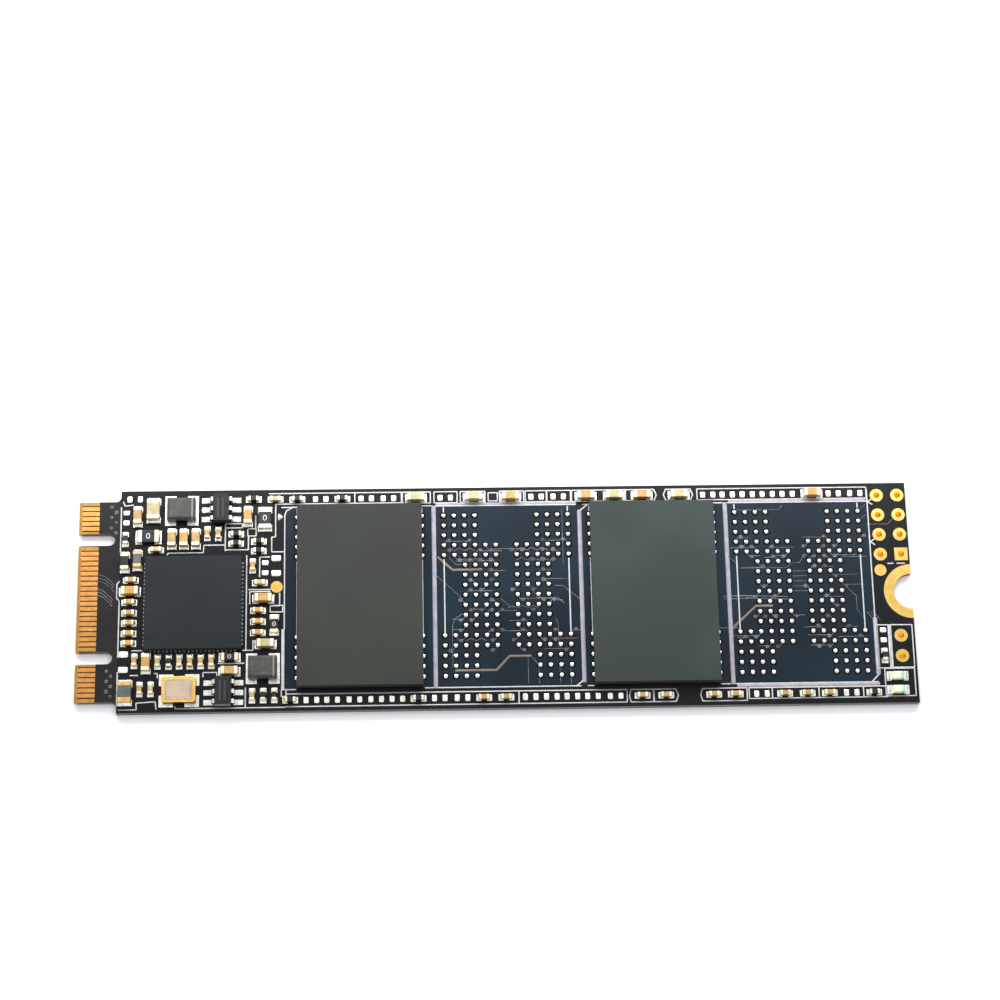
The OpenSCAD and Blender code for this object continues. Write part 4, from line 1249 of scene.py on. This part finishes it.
# %% Bundles of tracks
def beside(route, gap):
    """The same route moved sideways by gap, with its corners kept sharp."""
    places, moved = [Vector(p) for p in route], []
    for i, place in enumerate(places):
        before = place - places[i - 1] if i else places[1] - place
        after = places[i + 1] - place if i + 1 < len(places) else before
        into, out = before.normalized(), after.normalized()
        side = Vector((-(into.y + out.y), into.x + out.x)).normalized()
        square = Vector((-into.y, into.x))
        moved.append(tuple(place + side * gap / max(0.5, side.dot(square))))
    return moved


def bundle(route, count, pitch=0.24):
    return [beside(route, -i * pitch) for i in range(count)]


# %% Routes seen from below
FAR_BUNDLES = [
    ([(21.9, 9.7), (34.5, 9.7), (35.3, 8.9), (58.6, 8.9), (59.2, 8.3), (63.5, 8.3)], 3, 0.22),
    ([(30.5, 8.15), (44.8, 8.15), (57.0, 8.15), (58.0, 7.3), (63.8, 7.3)], 4, 0.22),
    ([(17.0, 7.1), (33.8, 7.1), (45.0, 7.1), (60.0, 6.6), (72.1, 6.6), (75.2, 3.5),
      (75.2, -4.6), (71.5, -7.8), (64.0, -7.8), (62.5, -9.3), (52.6, -9.3),
      (52.0, -8.7), (21.5, -8.7)], 4, 0.22),
    ([(64.0, 8.9), (73.5, 8.9), (77.4, 5.0), (77.4, 4.2)], 2, 0.24),
    ([(70.9, -0.6), (73.6, -0.6), (74.3, -1.3), (74.3, -4.2), (70.5, -7.1), (56.5, -7.1)], 4, 0.2),
    ([(20.8, -6.95), (51.5, -6.95), (52.3, -7.5), (56.0, -7.5), (56.6, -8.1),
      (62.0, -8.1)], 3, 0.24),
    ([(69.0, 0.75), (70.9, -0.8), (71.6, -0.8)], 2, 0.24),
    ([(75.9, 3.0), (75.9, -4.3), (76.3, -4.7)], 2, 0.26),
]
MIDDLE_BUNDLES = [
    ([(32.0, 5.3), (36.3, 5.3), (36.6, 5.0)], 3, 0.2),
    ([(36.6, 5.5), (41.4, 5.5)], 2, 0.22),
    ([(37.4, 4.75), (40.8, 4.75), (41.4, 4.2)], 2, 0.2),
    ([(32.6, 3.9), (36.4, 3.9)], 2, 0.2),
    ([(33.0, 3.35), (42.7, 3.35)], 2, 0.22),
    ([(28.3, 2.7), (32.8, 2.7), (33.3, 2.2), (36.7, 2.2)], 3, 0.2),
    ([(24.0, 1.5), (30.5, 1.5), (36.8, 1.4)], 2, 0.22),
    ([(15.0, 1.15), (23.1, 1.15), (24.3, 1.9), (26.5, 1.9)], 2, 0.22),
    ([(26.6, 1.3), (28.0, 0.35), (37.7, 0.35), (38.9, -1.1), (44.2, -1.1), (46.0, -3.0),
      (51.7, -3.0), (52.9, -1.9), (55.6, -1.8)], 2, 0.24),
    ([(14.7, -0.5), (23.8, -0.5), (24.8, -1.5), (38.2, -1.6)], 3, 0.22),
    ([(33.6, -2.3), (38.3, -2.3), (38.6, -2.6)], 6, 0.21),
    ([(29.0, -2.4), (33.2, -2.4)], 6, 0.24),
    ([(35.0, -4.4), (38.6, -4.4), (40.0, -3.2), (42.6, -3.2)], 2, 0.22),
    ([(19.5, -5.0), (27.0, -5.0), (33.0, -5.0), (34.2, -5.9)], 7, 0.22),
    ([(17.5, 7.9), (24.2, 7.9), (25.2, 8.9), (28.4, 8.9)], 3, 0.22),
    ([(22.5, 6.2), (34.0, 6.2)], 2, 0.2),
    ([(10.0, 7.6), (9.3, 6.9), (9.3, 3.6), (10.6, 2.3)], 4, 0.24),
    ([(6.3, -4.3), (9.3, -4.3), (12.6, -7.6), (18.6, -7.6), (20.4, -9.4), (21.0, -9.4)], 5, 0.24),
    ([(13.5, -5.0), (16.0, -7.0), (19.3, -7.0), (20.2, -7.9)], 4, 0.22),
    ([(7.7, -8.8), (8.4, -9.5), (13.5, -9.5), (13.9, -9.1), (18.6, -9.1)], 2, 0.24),
    ([(26.5, 0.9), (27.2, -0.3), (28.9, -0.3), (29.6, 0.3)], 1, 0.2),
    ([(31.0, -0.7), (34.5, -0.7)], 2, 0.22),
]
BROAD = [
    ([(46.0, 1.0), (46.8, 0.2), (46.8, -2.3)], 0.26),
    ([(60.3, 1.6), (62.5, 1.5)], 0.24),
    ([(55.0, 0.2), (56.1, 0.2), (56.9, -0.9), (56.9, -5.1), (55.9, -6.0), (56.1, -6.5),
      (66.6, -6.5), (68.3, -5.2), (68.3, -3.9)], 0.28),
    ([(67.7, 2.4), (67.7, 0.3), (68.8, -0.8), (68.8, -3.7), (71.8, -3.7)], 0.28),
]
far_lines, middle_lines = [], []
for route, count, pitch in FAR_BUNDLES:
    far_lines += bundle(route, count, pitch)
for route, count, pitch in MIDDLE_BUNDLES:
    middle_lines += bundle(route, count, pitch)
for route, half_w in BROAD:
    far_lines += [beside(route, half_w), beside(route, -half_w)]

# %% Short jogged tracks and vias seen from below
UNDER_VIAS = [
    (44.7, 6.1), (45.7, 6.1), (48.0, 6.1), (44.7, 5.2), (45.6, 4.9), (51.8, 5.2), (51.8, 4.1),
    (51.8, 3.1), (53.0, 5.2), (54.0, 4.1), (54.5, 6.0), (56.8, 5.4), (58.7, 5.2), (57.7, 4.2),
    (58.7, 4.3), (56.8, 3.3), (58.7, 3.4), (56.8, 2.4), (55.1, 2.1), (55.1, 1.5), (51.9, 1.3),
    (52.6, 1.3), (58.7, 1.3), (57.8, 0.2), (61.5, -1.4), (57.8, -1.6), (51.9, -1.8), (44.7, -0.7),
    (43.8, 2.0), (43.9, -1.8), (52.8, -0.8), (55.4, -2.9), (54.9, -4.0), (54.9, -4.6),
    (55.9, -4.7), (57.8, -3.7), (58.7, -3.7), (58.9, -4.6), (57.4, -5.7), (58.8, -5.7),
    (52.0, -4.9), (52.8, -5.9), (53.7, -6.4), (44.8, -4.7), (42.8, -5.7), (65.7, 5.2), (66.7, 5.1),
    (67.4, 5.6), (68.2, 5.6), (65.7, 3.1), (66.8, 1.3), (66.7, 0.1), (67.6, -0.8), (65.9, -0.7),
    (66.8, -0.6), (69.1, 2.2), (69.1, 1.5), (70.7, 5.2), (71.7, 4.9), (72.5, 5.3), (71.7, 4.3),
    (70.7, 3.4), (72.6, 3.3), (70.7, 2.3), (71.6, 2.3), (70.7, 1.6), (72.6, 1.4), (72.6, 0.3),
    (70.7, 0.2), (69.7, -1.5), (70.7, -1.6), (71.8, -1.6), (70.8, -2.4), (71.8, -2.7),
    (72.6, -2.5), (72.9, -3.6), (67.1, -3.6), (67.9, -3.6), (67.1, -4.7), (67.0, -5.5),
    (64.6, -5.5), (65.9, -5.5), (65.0, -6.3), (68.9, -4.6), (69.8, -4.5), (70.8, -5.5),
    (72.9, -5.5), (76.2, 5.8), (54.1, 9.2), (55.3, 9.2), (67.5, 9.0), (68.6, 9.0), (60.8, 9.4),
    (61.9, 9.3), (50.4, -9.9), (55.8, -9.9), (59.3, -9.9), (70.3, -9.1), (74.3, -9.7),
    (73.5, -8.9), (74.7, -8.5), (9.0, -5.6), (9.3, -7.4), (31.4, -10.2), (39.6, -10.2),
    (40.4, -10.2),
]
dice = random.Random(19)
jogs = []
for row in range(30):
    row_v = 5.4 - 0.42 * row
    if row_v < -6.3:
        break
    at_u = 7.0 + dice.random() * 2.5 + (3.0 if row_v > 3.5 else 0.0)
    while at_u < 29.0 - 1.1 * abs(row_v):
        run, jog = 0.9 + dice.random() * 1.9, dice.choice((-0.2, 0.2))
        bend_u = at_u + 0.35 * run
        jogs.append([(at_u, row_v), (bend_u, row_v), (bend_u + 0.2, row_v + jog),
                     (at_u + run, row_v + jog)])
        UNDER_VIAS.append((at_u, row_v))
        if dice.random() < 0.5:
            UNDER_VIAS.append((at_u + run, row_v + jog))
        at_u += run + 0.45 + dice.random() * 0.9
print(len(far_lines), "far lines,", len(middle_lines), "middle lines,", len(jogs), "jogs")
print(len(UNDER_VIAS), "vias below")

# %% Build the tracks and vias of the underside
HALF_TURN = (math.pi, 0.0, 0.0)
UNDER_H = 0.0008
BOARD_T = TOP / MM
CLEAR_L, CLEAR_HALF_W, CLEAR_NOTCH_R = 79.6, 10.7, 3.2
# Painted highlight: these light colours stand partly for copper and partly for sheen on the ridges.
UNDER_TRACK = track_material("masked_track_below", (122, 124, 130), (92, 96, 104), 0.3)
UNDER_BUNDLE = track_material("masked_bundle_below", (142, 130, 124), (98, 94, 98), 0.3)


def clear_of_edges(route):
    """Whether a route stays clear of the board's edges and of the screw notch."""
    return all(abs(v) < CLEAR_HALF_W and u < CLEAR_L and math.hypot(u - BOARD_L, v) > CLEAR_NOTCH_R
               for u, v in route)


far_lines = [route for route in far_lines if clear_of_edges(route)]
for name, routes, width, material in (
    ("far", far_lines, 0.13, UNDER_TRACK), ("middle", middle_lines, 0.13, UNDER_BUNDLE),
    ("short", jogs, 0.11, UNDER_TRACK),
):
    track_lines(f"tracks_below_{name}", routes, width, material, UNDER_H, HALF_TURN, -BOARD_T)
under_places = [spot(u, v, -BOARD_T) for u, v in UNDER_VIAS if clear_of_edges([(u, v)])]
under_points = point_cloud("via_points_below", under_places)
keep(grown(under_points, RING_TREE, "vias_below", {
    "Ring radius": 0.17 * MM, "Foot width": 0.12 * MM, "Crown width": 0.05 * MM,
    "Height": UNDER_H * MM, "Seed": 8, "Turn": HALF_TURN, "Material": UNDER_TRACK,
}))

# %% Dark gaps and painted shade round the bumps
# A dark ring round each bump: partly the mask's opening and partly painted shade of the bump.
GAP_AND_SHADE = surface("bump_gap_shade", (10, 11, 15), (7, 8, 11), 0.6, grain=0.08, depth=0.002,
                    blotch=0.6, Specular_IOR_Level=0.1)
BUMP_NODES = ["bare_site_bumps_inner", "bare_site_bumps_outer", "spare_bumps"]
bump_boxes = [box for node_name in BUMP_NODES for box in islands(node_name)]
bump_w = max(high.x - low.x for low, high in bump_boxes) / MM
bump_points = point_cloud("bump_points", [
    Vector(((low.x + high.x) / 2, (low.y + high.y) / 2, TOP)) for low, high in bump_boxes
])
keep(grown(bump_points, RING_TREE, "bump_gap_shade_rings", {
    "Ring radius": (bump_w / 2 + 0.04) * MM, "Foot width": 0.14 * MM, "Crown width": 0.12 * MM,
    "Height": 0.004 * MM, "Size spread": 0.03, "Seed": 11, "Material": GAP_AND_SHADE,
}))
print(len(bump_boxes), f"bumps, {bump_w:.2f} mm across")

# %% [markdown]
# ## Solder lumps on the empty pads
# Every empty pad went through the oven with paste on it, so it carries a lump of solder that
# stands high in the middle. Geometry Nodes softens a box into such a lump and puts one on each
# pad of the same size. The rounded lumps stand in for the faceted ones of the CAD.

# %% Geometry Nodes: a lump on every point
def lump_tree():
    g, takes, gives = geometry_tree("solder_lumps", [
        ("Size", "NodeSocketVector", (0.5 * MM, 0.5 * MM, 0.1 * MM)),
        ("Squareness", "NodeSocketFloat", 0.4),
        ("Size spread", "NodeSocketFloat", 0.04), ("Seed", "NodeSocketInt", 7),
        ("Material", "NodeSocketMaterial", None),
    ])
    block = g.node("GeometryNodeMeshCube", {"Size": takes["Size"]})
    round_block = g.node("GeometryNodeSubdivisionSurface", {
        "Mesh": block.outputs["Mesh"], "Level": 3, "Edge Crease": takes["Squareness"],
    })
    smooth = g.node("GeometryNodeSetShadeSmooth", {"Geometry": round_block.outputs[0]})
    return real_in_material(g, takes, gives, copies(g, takes, smooth.outputs[0], 1.0))


# %% One lump for each empty pad
LUMP_H = 0.09
LUMP_TREE = lump_tree()
pads_by_size = {}
for pad_low, pad_high in islands("bare_pads"):
    key = (round((pad_high.x - pad_low.x) / MM, 2), round((pad_high.y - pad_low.y) / MM, 2))
    middle_now = (pad_low + pad_high) / 2
    pads_by_size.setdefault(key, []).append(Vector((middle_now.x, middle_now.y, TOP)))
for number, ((pad_l, pad_w), places) in enumerate(sorted(pads_by_size.items()), 1):
    lumps = grown(point_cloud(f"pad_points_{number}", places), LUMP_TREE, f"pad_lumps_{number}", {
        "Size": (1.04 * pad_l * MM, 1.04 * pad_w * MM, 2 * LUMP_H * MM), "Seed": 7 + number,
        "Material": TINNED_PAD,
    })
    keep(lumps)
    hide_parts("bare_pads")
print(sum(len(p) for p in pads_by_size.values()), "lumps in", len(pads_by_size), "sizes")
